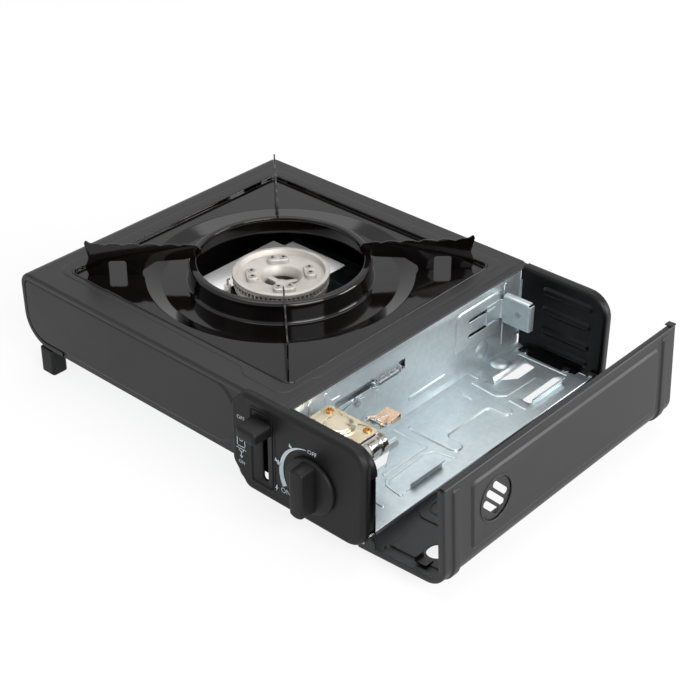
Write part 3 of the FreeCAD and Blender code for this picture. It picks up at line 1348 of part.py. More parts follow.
# The torsion spring winds round the tongue's pin; one leg lies on the regulator, the other on the tongue
def make_tongue_spring():
    wire = d.tongue_wire.number
    first, last = 97.0, 84.0
    turns = d.tongue_turns.number + (first - last) / 360
    points, headings = coil_points(d.tongue_coil.number, d.tongue_pitch.number, first, turns)
    centre = vector(tongue_left + 2.6, tongue_axis[0], tongue_axis[1])
    points = [centre + point for point in points]
    edges = [Part.LineSegment(points[0] - headings[0] * 6.5, points[0]).toShape()]
    edges += coil_edges(points, headings)
    edges.append(Part.LineSegment(points[-1], points[-1] + headings[-1] * 12).toShape())
    path = Part.Wire(edges)
    print_gap("tongue_spring", path, wire, d.tongue_coil.number * 4)
    place_shape(swept(path, wire / 2), "tongue_spring")


def make_everything():
    make_top_cover()
    make_panels()
    make_bottom_plate()
    make_feet()
    make_partition()
    make_bay_floor()
    make_end_pans()
    make_small_fasteners()
    make_lid()
    make_lid_catch()
    make_control_panel()
    make_knob()
    make_lock_lever()
    make_slide_bar()
    make_can_pusher()
    make_latch()
    make_drip_tray()
    make_pan_supports()
    make_burner_head()
    make_port_bushings()
    make_burner_body()
    make_gas_pipe(make_mixing_tube())
    make_supports()
    make_ignition()
    make_regulator()
    make_regulator_parts()
    make_tongue()
    make_lever_spring()
    make_tongue_spring()


# Moves everything so that the whole object's box is centred on the origin
def centre_on_origin():
    doc.recompute()
    boxes = [piece.Shape.optimalBoundingBox(False, False) for piece in pieces]
    across = (min(box.XMin for box in boxes) + max(box.XMax for box in boxes)) / 2
    back = (min(box.YMin for box in boxes) + max(box.YMax for box in boxes)) / 2
    cells = {sheet.getCellFromAlias(name): value
             for name, value in (("shift_across", -across), ("shift_back", -back))}
    for cell, value in cells.items():
        sheet.set(cell, "%.4f" % value)
    doc.recompute()
    low = min(box.ZMin for box in boxes)
    print("burner axis at x %.4f y %.4f, lowest point z %.4f" % (-across, -back, low))


def check_and_write():
    for obj in doc.Objects:
        if "Invalid" in obj.State or "Error" in obj.State:
            raise RuntimeError("%s (%s) did not build" % (obj.Label, obj.Name))
    os.makedirs("parts", exist_ok=True)
    for piece in pieces:
        shape = piece.Shape
        if shape.isNull() or not shape.isValid() or not shape.Solids:
            raise RuntimeError("%s has no valid solid" % piece.Label)
        shape.exportStep("parts/%s.step" % piece.Label)
        box = shape.BoundBox
        print("%-20s solids %d, %9.1f mm3, x %.1f to %.1f, y %.1f to %.1f, z %.1f to %.1f" % (
            piece.Label, len(shape.Solids), shape.Volume, box.XMin, box.XMax, box.YMin, box.YMax,
            box.ZMin, box.ZMax))
    print("%d pieces written" % len(pieces))


make_everything()
centre_on_origin()
check_and_write()
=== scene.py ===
import bpy, bmesh, math
from mathutils import Matrix, Vector


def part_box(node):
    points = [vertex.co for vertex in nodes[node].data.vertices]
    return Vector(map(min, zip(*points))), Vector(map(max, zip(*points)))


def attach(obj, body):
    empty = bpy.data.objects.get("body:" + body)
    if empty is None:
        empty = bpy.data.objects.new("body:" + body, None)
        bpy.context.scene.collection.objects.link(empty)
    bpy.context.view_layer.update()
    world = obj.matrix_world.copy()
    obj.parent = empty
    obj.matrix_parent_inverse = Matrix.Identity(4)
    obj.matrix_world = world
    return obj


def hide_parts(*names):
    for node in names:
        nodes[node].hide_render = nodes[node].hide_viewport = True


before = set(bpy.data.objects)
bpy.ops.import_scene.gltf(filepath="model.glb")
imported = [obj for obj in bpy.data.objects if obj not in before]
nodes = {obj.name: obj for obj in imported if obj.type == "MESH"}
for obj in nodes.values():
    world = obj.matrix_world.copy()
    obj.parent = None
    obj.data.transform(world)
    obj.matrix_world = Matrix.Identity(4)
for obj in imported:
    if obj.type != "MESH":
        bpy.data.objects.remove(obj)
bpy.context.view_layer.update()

# Cassette stove with its cartridge bay open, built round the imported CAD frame
# Pieces are drawn in millimetres about the burner's axis: X to the bay, Y to the back, Z up from the table

burnerLow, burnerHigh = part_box("burner_head")
inRow = Matrix.Translation(((burnerLow.x + burnerHigh.x) / 2, (burnerLow.y + burnerHigh.y) / 2,
        0)) @ Matrix.Scale(0.001, 4)
flat = Matrix.Identity(4)

# Turns for a shape drawn across and up, so that it looks to the front, to the back or to the bay
facingFront = Matrix.Rotation(math.radians(90), 4, "X")
facingBack = Matrix(((-1, 0, 0, 0), (0, 0, 1, 0), (0, 1, 0, 0), (0, 0, 0, 1)))
facingBay = Matrix(((0, 0, 1, 0), (1, 0, 0, 0), (0, 1, 0, 0), (0, 0, 0, 1)))


def at(x, y, z, turn=flat):
    return Matrix.Translation((x, y, z)) @ turn


# Camera and light

# Millimetres and degrees; the focal length is for a sensor 36 mm wide
cameraPlace = {"x": 652.788, "y": -713.833, "z": 659.622, "azimuth": 41.6592, "elevation": 32.5401,
               "roll": 0.3290, "focal": 1588.94 / 700 * 36}


def makeCamera():
    azimuth, elevation, roll = (math.radians(cameraPlace[k]) for k in ("azimuth", "elevation", "roll"))
    ahead = Vector((-math.sin(azimuth) * math.cos(elevation), math.cos(azimuth) * math.cos(elevation),
                    -math.sin(elevation)))
    level = ahead.cross(Vector((0, 0, 1))).normalized()
    above = level.cross(ahead)
    right = level * math.cos(roll) + above * math.sin(roll)
    up = above * math.cos(roll) - level * math.sin(roll)
    data = bpy.data.cameras.new("Camera")
    data.sensor_width = 36
    data.lens = cameraPlace["focal"]
    camera = bpy.data.objects.new("Camera", data)
    turn = Matrix((right, up, -ahead)).transposed().to_4x4()
    camera.matrix_world = Matrix.Translation([cameraPlace[k] * 0.001 for k in "xyz"]) @ turn
    bpy.context.scene.collection.objects.link(camera)
    bpy.context.scene.camera = camera


lamps = {  # metres and watts: place, aim, size, power
    "KeyRight": ((2.1, -0.5, 1.3), (0.1, 0, 0.05), 1.6, 60),
    "Top": ((-0.3, 0.5, 2.2), (0, 0, 0), 1.8, 24),
    "RightBack": ((2.3, 1.9, 0.6), (0.15, 0, 0.05), 1.4, 60),
    "FillFront": ((-0.5, -2.3, 1.0), (0, 0, 0.05), 1.6, 3),
}


def makeLamps():
    for name, (place, aim, size, power) in lamps.items():
        data = bpy.data.lights.new(name, "AREA")
        data.size = size
        data.energy = power
        lamp = bpy.data.objects.new(name, data)
        lamp.location = place
        lamp.rotation_euler = (Vector(aim) - Vector(place)).to_track_quat("-Z", "Y").to_euler()
        bpy.context.scene.collection.objects.link(lamp)


# Nodes and finishes

def colour(hexText):
    parts = [int(hexText[i:i + 2], 16) / 255 for i in (1, 3, 5)]
    return [c / 12.92 if c <= 0.04045 else ((c + 0.055) / 1.055) ** 2.4 for c in parts] + [1.0]


# Adds a node with its settings; an input given as (node, socket) is linked, any other is a value
def addNode(tree, kind, inputs=None, **settings):
    node = tree.nodes.new("ShaderNode" + kind)
    for name, value in settings.items():
        setattr(node, name, value)
    for socket, value in (inputs or {}).items():
        if isinstance(value, tuple) and isinstance(value[0], bpy.types.Node):
            tree.links.new(node.inputs[socket], value[0].outputs[value[1]])
        else:
            node.inputs[socket].default_value = value
    return node


def setRamp(node, stops):
    for element, (place, tone) in zip(node.color_ramp.elements, stops):
        element.position = place
        element.color = colour(tone)


# A material with its shader and a coordinate in millimetres
def startMaterial(name, **shaderValues):
    material = bpy.data.materials.new(name)
    material.use_nodes = True
    tree = material.node_tree
    shader = tree.nodes["Principled BSDF"]
    for socket, value in shaderValues.items():
        shader.inputs[socket.replace("_", " ")].default_value = value
    place = addNode(tree, "TexCoord")
    mm = addNode(tree, "Mapping", {"Vector": (place, "Object"), "Scale": (1000, 1000, 1000)})
    return material, tree, shader, (mm, "Vector")


# A surface with two tones, a roughness that drifts and a fine relief; sizes in millimetres
def surface(name, dark, light, patch, rough, grain, relief, **shaderValues):
    material, tree, shader, mm = startMaterial(name, **shaderValues)
    broad = addNode(tree, "TexNoise", {"Vector": mm, "Scale": 1 / patch, "Detail": 3.0, "Roughness": 0.55})
    tones = addNode(tree, "ValToRGB", {"Fac": (broad, "Fac")})
    setRamp(tones, [(0.32, dark), (0.68, light)])
    drift = addNode(tree, "MapRange", {"Value": (broad, "Fac"), "From Min": 0.3, "From Max": 0.7,
            "To Min": rough[0], "To Max": rough[1]})
    fine = addNode(tree, "TexNoise", {"Vector": mm, "Scale": 1 / grain, "Detail": 2.0, "Roughness": 0.6})
    bump = addNode(tree, "Bump", {"Height": (fine, "Fac"), "Distance": relief * 0.001, "Strength": 1.0})
    tree.links.new(shader.inputs["Base Color"], tones.outputs["Color"])
    tree.links.new(shader.inputs["Roughness"], drift.outputs["Result"])
    tree.links.new(shader.inputs["Normal"], bump.outputs["Normal"])
    return material


def makeFinishes():
    made = {}
    # Powder-coated steel: an even, dead black whose fine orange peel scatters the highlight
    made["powderCoat"] = surface("PowderCoatSatinBlack", "#151517", "#19191b", 60, (0.4, 0.48), 0.9, 0.03,
            Specular_IOR_Level=0.36)
    # Paint inside the bay's ends, thinner and smoother than on the cover: a deep black
    made["bayPaint"] = surface("StovedPaintBlack", "#060606", "#0a0a0b", 60, (0.34, 0.42), 1.2, 0.02,
            Specular_IOR_Level=0.22)
    # Vitreous enamel, fired: brown-black glass that mirrors the room with a slight wave
    made["enamel"] = surface("VitreousEnamelBrownBlack", "#060404", "#0c0807", 30, (0.07, 0.12), 14, 0.05,
            Specular_IOR_Level=0.36)
    # Moulded ABS with a spark-eroded grain: soft black, no sharp highlight
    made["moulded"] = surface("MouldedAbsBlack", "#0d0d0e", "#111112", 40, (0.44, 0.54), 0.5, 0.03,
            Specular_IOR_Level=0.24)
    # Die-cast aluminium, bead blasted: warm pale grey, dull
    made["castAluminium"] = surface("BlastedCastAluminium", "#b4b0aa", "#bfbbb5", 9, (0.5, 0.6), 0.7, 0.03,
            Metallic=0.6)
    # Painted shade: a dark colour set behind the flame slots and in the port mouths, standing in for the
    # shade inside those openings
    made["paintedShade"] = surface("PaintedShadeBlack", "#0d0b09", "#17130f", 5, (0.7, 0.85), 0.6, 0.02,
            Specular_IOR_Level=0.2)
    # Turned aluminium: brighter than the casting, with a satin sheen
    made["turnedAluminium"] = surface("TurnedAluminium", "#e2dfda", "#efece8", 12, (0.22, 0.3), 0.6, 0.006,
            Metallic=1.0)
    # Rolled stainless steel: nearly a mirror
    made["stainless"] = surface("SatinStainless", "#f0f0f0", "#fafafa", 50, (0.34, 0.42), 5, 0.004,
            Metallic=0.4)
    # Nickel plate on turned steel: bright with fine turning marks
    made["nickel"] = surface("NickelPlate", "#a9a7a4", "#c9c7c3", 3, (0.16, 0.26), 0.5, 0.006, Metallic=1.0)
    # Yellow-passivated zinc on pressed steel: champagne with faint clouds of colour
    made["passivated"] = surface("YellowPassivatedZinc", "#cbbd9f", "#d9ceb6", 16, (0.24, 0.32), 0.8, 0.006,
            Metallic=1.0)
    made["brass"] = surface("TurnedBrass", "#a8753f", "#c99a5c", 2, (0.2, 0.32), 0.4, 0.008, Metallic=1.0)
    made["copper"] = surface("DrawnCopper", "#a8623f", "#c47c54", 6, (0.25, 0.4), 1.0, 0.01, Metallic=1.0)
    made["phosphorBronze"] = surface("PhosphorBronzeStrip", "#d6b699", "#e2c8ae", 14, (0.2, 0.28), 0.6,
            0.004, Metallic=1.0)
    made["springSteel"] = surface("DrawnSpringSteel", "#8f9092", "#b4b5b7", 2, (0.2, 0.3), 0.3, 0.004,
            Metallic=1.0)
    made["rubber"] = surface("NitrileRubber", "#131313", "#1b1b1b", 5, (0.6, 0.7), 0.4, 0.02)
    made["ceramic"] = surface("GlazedCeramic", "#e6e3da", "#efece4", 6, (0.12, 0.2), 1.5, 0.01)
    made["leadSheath"] = surface("SiliconeSheath", "#b9b6b0", "#c9c6c0", 6, (0.42, 0.5), 0.6, 0.01)
    # Screen-printed ink: pale grey-blue, thin enough to let the grain through
    made["ink"] = surface("ScreenPrintPaleGrey", "#b3bfcc", "#c2ccd6", 6, (0.5, 0.6), 0.5, 0.01)
    made["galvanised"] = galvanised()
    return made


# Hot-dip galvanised sheet: crystals of a few millimetres, slightly unlike in tone, under rolling lines
def galvanised():
    material, tree, shader, mm = startMaterial("GalvanisedSheet", Metallic=0.8)
    warp = addNode(tree, "TexNoise", {"Vector": mm, "Scale": 0.12, "Detail": 2.0})
    push = addNode(tree, "VectorMath", {0: (warp, "Color"), 1: (6, 6, 6)}, operation="MULTIPLY")
    bent = addNode(tree, "VectorMath", {0: mm, 1: (push, "Vector")}, operation="ADD")
    crystals = addNode(tree, "TexVoronoi", {"Vector": (bent, "Vector"), "Scale": 1 / 3}, feature="F1")
    single = addNode(tree, "SeparateColor", {"Color": (crystals, "Color")})
    lines = addNode(tree, "Mapping", {"Vector": mm, "Scale": (1, 0.03, 1)})
    rolled = addNode(tree, "TexNoise", {"Vector": (lines, "Vector"), "Scale": 2.2, "Detail": 2.0})
    both = addNode(tree, "Mix", {"Factor": 0.6, 2: (single, "Red"), 3: (rolled, "Fac")}, data_type="FLOAT")
    tones = addNode(tree, "ValToRGB", {"Fac": (both, "Result")})
    setRamp(tones, [(0.25, "#bcc6ca"), (0.75, "#c7d0d3")])
    drift = addNode(tree, "MapRange", {"Value": (both, "Result"), "From Min": 0.2, "From Max": 0.8,
            "To Min": 0.32, "To Max": 0.37})
    bump = addNode(tree, "Bump", {"Height": (rolled, "Fac"), "Distance": 0.000012, "Strength": 1.0})
    tree.links.new(shader.inputs["Base Color"], tones.outputs["Color"])
    tree.links.new(shader.inputs["Roughness"], drift.outputs["Result"])
    tree.links.new(shader.inputs["Normal"], bump.outputs["Normal"])
    return material


# White room: full strength for the camera, a little less in gloss, and less still as light on the object
room = {"seen": 1.0, "light": 0.4, "gloss": 0.88, "floorWhite": 0.84, "floorGloss": 0.6, "floorRadius": 6,
        "paper": "#f4f4f4"}


def makeRoom():
    world = bpy.data.worlds.new("WhiteRoom")
    bpy.context.scene.world = world
    world.use_nodes = True
    tree = world.node_tree
    tree.nodes.clear()
    rays = addNode(tree, "LightPath")
    falling = addNode(tree, "Mix", {"Factor": (rays, "Is Glossy Ray"), 2: room["light"], 3: room["gloss"]},
                      data_type="FLOAT")
    clear = addNode(tree, "Math", {0: (rays, "Is Camera Ray"), 1: (rays, "Is Transmission Ray")},
                    operation="MAXIMUM")
    strength = addNode(tree, "Mix", {"Factor": (clear, "Value"), 2: (falling, "Result"), 3: room["seen"]},
                       data_type="FLOAT")
    back = addNode(tree, "Background", {"Color": (1, 1, 1, 1), "Strength": (strength, "Result")})
    addNode(tree, "OutputWorld", {"Surface": (back, "Background")})
    paper, tree, shader, mm = startMaterial("PaperSweep", Roughness=0.9)
    shader.inputs["Base Color"].default_value = colour(room["paper"])
    rays = addNode(tree, "LightPath")
    clear = addNode(tree, "Math", {0: (rays, "Is Camera Ray"), 1: (rays, "Is Transmission Ray")},
                    operation="MAXIMUM")
    seen = addNode(tree, "Math", {0: (clear, "Value"), 1: room["floorWhite"]}, operation="MULTIPLY")
    gloss = addNode(tree, "Math", {0: (rays, "Is Glossy Ray"), 1: room["floorGloss"]}, operation="MULTIPLY")
    share = addNode(tree, "Math", {0: (seen, "Value"), 1: (gloss, "Value")}, operation="MAXIMUM")
    glow = addNode(tree, "Emission", {"Color": (1, 1, 1, 1), "Strength": 1.0})
    mixed = addNode(tree, "MixShader", {"Fac": (share, "Value"), 1: (shader, "BSDF"),
            2: (glow, "Emission")})
    tree.links.new(tree.nodes["Material Output"].inputs["Surface"], mixed.outputs["Shader"])
    bm = bmesh.new()
    bmesh.ops.create_circle(bm, cap_ends=True, segments=64, radius=room["floorRadius"])
    mesh = bpy.data.meshes.new("Floor")
    bm.to_mesh(mesh)
    bm.free()
    mesh.materials.append(paper)
    ground = bpy.data.objects.new("Floor", mesh)
    bpy.context.scene.collection.objects.link(ground)


bpy.context.scene.view_settings.view_transform = "Standard"
makeCamera()
makeLamps()
makeRoom()
finish = makeFinishes()
print("camera, light and finishes ready")

# Tools for pressed sheet

# Points of a loop whose corners (across, up, radius) are rounded
def roundedLoop(corners, segments=5):
    bm = bmesh.new()
    verts = [bm.verts.new((c[0], c[1], 0)) for c in corners]
    bm.faces.new(verts)
    for i, (vert, corner) in enumerate(zip(verts, corners)):
        radius = corner[2] if len(corner) > 2 else 0
        if radius > 0:
            here = Vector(corner[:2])
            before = Vector(corners[i - 1][:2]) - here
            after = Vector(corners[(i + 1) % len(corners)][:2]) - here
            reach = radius / math.tan(before.angle(after) / 2)
            reach = min(reach, 0.49 * min(before.length, after.length))
            bmesh.ops.bevel(bm, geom=[vert], offset=reach, segments=segments, affect="VERTICES",
                            profile=0.5, material=-1)
    bm.faces.ensure_lookup_table()
    points = [v.co.copy() for v in bm.faces[0].verts]
    bm.free()
    return points


def box4(left, right, low, high, radius=0.0):
    return [(left, low, radius), (right, low, radius), (right, high, radius), (left, high, radius)]


def ringLoop(across, up, radius, count=32):
    return [Vector((across + radius * math.cos(2 * math.pi * i / count),
                    up + radius * math.sin(2 * math.pi * i / count), 0)) for i in range(count)]


def addFace(bm, points, level=0.0):
    return bm.faces.new([bm.verts.new((p[0], p[1], level)) for p in points])


# Steps of a soft press: each is how far in and how far up
def softPress(width, height, rings=4):
    shares = [0.5 - 0.5 * math.cos(math.pi * i / rings) for i in range(rings + 1)]
    return [(width / rings, height * (shares[i + 1] - shares[i])) for i in range(rings)]


def press(bm, face, steps):
    for inward, upward in steps:
        bmesh.ops.inset_region(bm, faces=[face], thickness=inward, use_even_offset=True, use_boundary=True)
        bmesh.ops.translate(bm, verts=face.verts, vec=(0, 0, upward))


# A pressed place is (loop, steps) or (loop, steps, inner), where each inner one is a place or a hole's loop
def pressPlace(bm, place, level):
    face = addFace(bm, place[0], level)
    rim = list(face.edges)
    press(bm, face, place[1])
    if len(place) > 2:
        inside = list(face.edges)
        height = face.verts[0].co.z
        bm.faces.remove(face)
        for inner in place[2]:
            inside += pressPlace(bm, inner, height) if isinstance(inner, tuple) else loopEdges(bm, inner,
                    height)
        fill(bm, inside)
    return rim


# A flat sheet with pressed places and holes
def pressedSheet(bm, outline, places=(), holes=(), level=0.0):
    outer = loopEdges(bm, outline, level)
    edges = list(outer)
    for place in places:
        edges += pressPlace(bm, place, level)
    for hole in holes:
        edges += loopEdges(bm, hole, level)
    fill(bm, edges)
    return outer


def loopEdges(bm, points, level):
    verts = [bm.verts.new((p[0], p[1], level)) for p in points]
    return [bm.edges.new((verts[i - 1], verts[i])) for i in range(len(verts))]


def fill(bm, edges):
    bmesh.ops.triangle_fill(bm, use_beauty=True, edges=edges, normal=(0, 0, 1))


# Carries an open edge on in rings; each step is how far on in the sheet's plane and how far behind its face
def turnEdge(bm, edges, steps):
    bm.normal_update()
    onward, behind = {}, {}
    for edge in edges:
        face = edge.link_faces[0]
        start, end = (v.co for v in edge.verts)
        out = (end - start).cross(face.normal).normalized()
        if out.dot(face.calc_center_median() - start) > 0:
            out.negate()
        for vert in edge.verts:
            onward.setdefault(vert, []).append(out)
            behind.setdefault(vert, []).append(-face.normal)

    def joined(parts):
        if len(parts) == 1:
            return parts[0]
        return (parts[0] + parts[1]) / max(0.2, 1 + parts[0].dot(parts[1]))
    ways = {vert: (joined(onward[vert]), joined(behind[vert])) for vert in onward}
    for on, back in steps:
        made = bmesh.ops.extrude_edge_only(bm, edges=edges)["geom"]
        fresh = {g for g in made if isinstance(g, bmesh.types.BMVert)}
        following = {}
        for vert in fresh:
            for edge in vert.link_edges:
                old = edge.other_vert(vert)
                if old in ways and old not in fresh:
                    following[vert] = ways[old]
        for vert, (out, inward) in following.items():
            vert.co += out * on + inward * back
        ways = following
        edges = [g for g in made if isinstance(g, bmesh.types.BMEdge) and g.verts[0] in fresh
                 and g.verts[1] in fresh]


# Steps that carry a sheet's edge round a bend of the given radius and angle
def roundTurn(radius, degrees=90, segments=4):
    steps = []
    for i in range(segments):
        a, b = (math.radians(degrees) * k / segments for k in (i, i + 1))
        steps.append((radius * (math.sin(b) - math.sin(a)), radius * (math.cos(a) - math.cos(b))))
    return steps


def openEdges(bm, test):
    return [e for e in bm.edges if len(e.link_faces) == 1 and all(test(v.co) for v in e.verts)]


# Turns a flange of the given depth round a bend, along the open edge that passes the test
def flange(bm, test, radius, depth, segments=5):
    turnEdge(bm, openEdges(bm, test), roundTurn(radius, 90, segments) + [(0, depth - radius)])


# Makes the piece: merges, points faces outwards, places it and gives the sheet its wall
def finishPiece(bm, name, body, material, replaced=(), place=flat, wall=0.0, outside=None, sharp=35,
                rim=0.0, even=True):
    bmesh.ops.remove_doubles(bm, verts=bm.verts, dist=0.002)
    bmesh.ops.dissolve_degenerate(bm, edges=bm.edges, dist=0.0005)
    bmesh.ops.recalc_face_normals(bm, faces=bm.faces)
    if outside is not None:
        widest = max(bm.faces, key=lambda f: f.calc_area())
        if widest.normal.dot(Vector(outside)) < 0:
            bmesh.ops.reverse_faces(bm, faces=bm.faces)
    bmesh.ops.transform(bm, matrix=inRow @ place, verts=bm.verts)
    bm.normal_update()
    mesh = bpy.data.meshes.new(name)
    bm.to_mesh(mesh)
    bm.free()
    for polygon in mesh.polygons:
        polygon.use_smooth = True
    mesh.set_sharp_from_angle(angle=math.radians(sharp))
    mesh.materials.append(finish[material])
    piece = bpy.data.objects.new(name, mesh)
    bpy.context.scene.collection.objects.link(piece)
    if wall:
        thicken = piece.modifiers.new("Wall", "SOLIDIFY")
        thicken.thickness = wall * 0.001
        thicken.offset = -1
        thicken.use_even_offset = even
    if rim:
        soften = piece.modifiers.new("Rim", "BEVEL")
        soften.width = rim * 0.001
        soften.segments = 2
        soften.limit_method = "ANGLE"
        soften.angle_limit = math.radians(60)
    if wall or rim:
        shade = piece.modifiers.new("Shade", "WEIGHTED_NORMAL")
        shade.keep_sharp = True
        shade.weight = 100
    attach(piece, body)
    if replaced:
        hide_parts(*replaced)
    return piece


# A copy of a CAD node with its sharp edges rounded, as a deburred or moulded edge is
def softenedNode(node, body, material, width, segments=2):
    bm = bmesh.new()
    bm.from_mesh(nodes[node].data)
    bmesh.ops.transform(bm, matrix=inRow.inverted(), verts=bm.verts)
    bmesh.ops.remove_doubles(bm, verts=bm.verts, dist=0.003)
    bmesh.ops.dissolve_limit(bm, angle_limit=math.radians(3), verts=bm.verts, edges=bm.edges)
    edges = [e for e in bm.edges if len(e.link_faces) == 2 and e.calc_face_angle(0) > math.radians(40)]
    bmesh.ops.bevel(bm, geom=edges, offset=width, segments=segments, affect="EDGES", profile=0.5,
                    material=-1, clamp_overlap=True)
    name = "".join(part.capitalize() for part in node.split("_"))
    return finishPiece(bm, name, body, material, [node])


# Housing: the cover with its stepped rim and the tray's seat

cover = {"left": -139.8, "right": 129.5, "half": 130.6, "top": 80.0, "base": 22.0, "topBend": 10.0,
         "lowBend": 24.0, "curl": 16.5, "wall": 0.8, "edgeBend": 1.4, "band": 4.0}


def makeCover():
    bm = bmesh.new()
    c = cover
    end = c["half"] - c["edgeBend"]
    flatLeft, stepAt = c["left"] + c["topBend"], c["right"] - 5.2
    plateau = [(-121, -113, 13), (72, -113, 6), (80, -119.5, 7), (113, -119.5, 9), (117.5, -113, 6),
               (117.5, -92, 3), (120.5, -87, 3), (120.5, 90, 3), (117.5, 95, 3), (117.5, 117.5, 9),
               (-121, 117.5, 13)]
    seat = roundedLoop(box4(-113, 113, -109.5, 109.5, 8), 6)
    outline = [(flatLeft, -end), (stepAt, -end), (stepAt, end), (flatLeft, end)]
    pressedSheet(bm, outline, [(roundedLoop(plateau, 5), softPress(1.6, 0.5, 3), [seat])],
                 level=c["top"] - 0.5)
    rim = openEdges(bm, lambda p: abs(p.x) < 113.2 and abs(p.y) < 109.7)
    turnEdge(bm, rim, roundTurn(0.8, 90, 3) + [(0, 3.2), (4.6, 0)])
    right = openEdges(bm, lambda p: abs(p.x - stepAt) < 0.01)
    turnEdge(bm, right, [(0.5, 0.1), (0.5, 0.3), (0.5, 0.3), (0.5, 0.1), (2.2, 0)] + roundTurn(1.0, 90, 3))
    left = openEdges(bm, lambda p: abs(p.x - flatLeft) < 0.01)
    turnEdge(bm, left, roundTurn(c["topBend"], 90, 8) + [(0, 12),
            (0, c["top"] - c["base"] - c["topBend"] - c["lowBend"] - 12.5)] + [(-b, a) for a,
                    b in roundTurn(c["lowBend"], 90, 12)] + [(-c["curl"], 0)])
    for side in (-1, 1):
        flange(bm, lambda p: abs(p.y - side * end) < 0.02, c["edgeBend"], c["band"], 4)
    finishPiece(bm, "TopCover", "housing", "powderCoat", ["top_cover"], wall=c["wall"],
                outside=(0, 0, 1), even=False)


makeCover()
print("cover made")

# Sheet placed out of its drawing plane: open flat strips and plates

def turned(bm, matrix, draw):
    before = set(bm.verts)
    draw()
    bmesh.ops.transform(bm, matrix=matrix, verts=[v for v in bm.verts if v not in before])


def strip(bm, corners):
    return bm.faces.new([bm.verts.new(c) for c in corners])


# A bead along a path: its outline runs up one side and down the other
def beadLoop(path, half, corner=3.0):
    left, right = [], []
    points = [Vector(p) for p in path]
    for i, point in enumerate(points):
        ahead = (points[min(i + 1, len(points) - 1)] - point).normalized() if i < len(points) - 1 else None
        behind = (point - points[i - 1]).normalized() if i else None
        way = ((ahead or behind) + (behind or ahead)).normalized()
        side = Vector((-way.y, way.x)) * half / max(0.5, way.dot(ahead or behind))
        inner = half * 0.95 if i in (0, len(points) - 1) else corner
        left.append((point.x + side.x, point.y + side.y, inner))
        right.append((point.x - side.x, point.y - side.y, inner))
    return roundedLoop(right + left[::-1], 4)


# Steps of a round dome, left flat at its very top
def domePress(width, height):
    angles = [math.pi / 2 * i / 6 for i in range(6)]
    return [(width * (math.cos(a) - math.cos(b)), height * (math.sin(b) - math.sin(a)))
            for a, b in zip(angles, angles[1:])]


# Floor of the cartridge bay

floor = {"left": 124.0, "right": 198.0, "front": -123.0, "back": 124.0, "top": 12.5, "wall": 0.7,
         "lip": 3.0, "beadHeight": 0.8}


def makeBayFloor():
    bm = bmesh.new()
    f = floor
    across = (138.5, 153.5, 167.0, 184.0)
    up = (-19.7, -8.4, 38.2, 48.9)
    bar = [(across[0], up[0], 5), (across[3], up[0], 5), (across[3], up[1], 5), (across[2], up[1], 4),
           (across[2], up[2], 4), (across[3], up[2], 5), (across[3], up[3], 5), (across[0], up[3], 5),
           (across[0], up[2], 5), (across[1], up[2], 4), (across[1], up[1], 4), (across[0], up[1], 5)]
    places = [(roundedLoop(bar, 5), softPress(1.9, 1.5, 4))]
    places.append((ringLoop(138, 91.6, 8.2, 32), domePress(7.5, 3.0)))
    paths = [([(137.5, 57.6), (161.5, 55.6), (166.2, 60.5), (167.4, 95)], 1.7),
             ([(127.5, 65), (138.0, 65)], 1.6), ([(171.5, 57.6), (187.8, 56.3)], 1.7),
             ([(133, -25.8), (163.4, -26.4), (162.8, -72)], 1.7), ([(187.5, -23.5), (170.0, -27.5),
                     (167.0, -34.4), (168.6, -73.5), (172.5, -78.2), (187.5, -80.7)], 1.7),
                     ([(135, -97), (186, -97)], 1.7), ([(139, 112), (184, 112)], 1.2)]
    for path, half in paths:
        places.append((beadLoop(path, half), softPress(1.2, f["beadHeight"], 3)))
    openings = [(150.0, 159.6, 64, 106, -1), (177.6, 186.0, 64, 105, 1), (146.8, 155.5, -72, -34.8, -1),
                (176, 185.5, -71.8, -33.8, 1)]
    holes = [roundedLoop(box4(l, r, lo, hi, 2.6), 4) for l, r, lo, hi, side in openings]
    holes += [ringLoop(x, y, 1.6, 16) for x in (141.5, 179.5) for y in (117, -116)]
    notch = [(f["left"], f["front"]), (f["right"], f["front"]), (f["right"], f["back"] - 3),
             (f["right"] - 12, f["back"] - 3), (f["right"] - 12, f["back"]), (f["left"], f["back"])]
    pressedSheet(bm, notch, places, holes, f["top"])
    for l, r, lo, hi, side in openings:
        edge = l if side < 0 else r
        lip = openEdges(bm, lambda p: abs(p.x - edge) < 0.01 and lo + 2 < p.y < hi - 2)
        turnEdge(bm, lip, [(0.1, -0.5), (0.0, -0.7), (-0.5, -1.2), (-1.0, -1.3), (-1.3, -1.1)])
    flange(bm, lambda p: abs(p.x - f["right"]) < 0.01, 0.8, f["lip"], 3)
    finishPiece(bm, "CompartmentFloor", "housing", "galvanised", ["compartment_floor"],
                wall=f["wall"], outside=(0, 0, 1), sharp=30)


# Partition between the burner and the bay

partition = {"face": 127.9, "front": -123.0, "back": 124.0, "low": 12.5, "top": 77.3, "wall": 0.7,
             "foot": 5.0, "tab": 8.0}


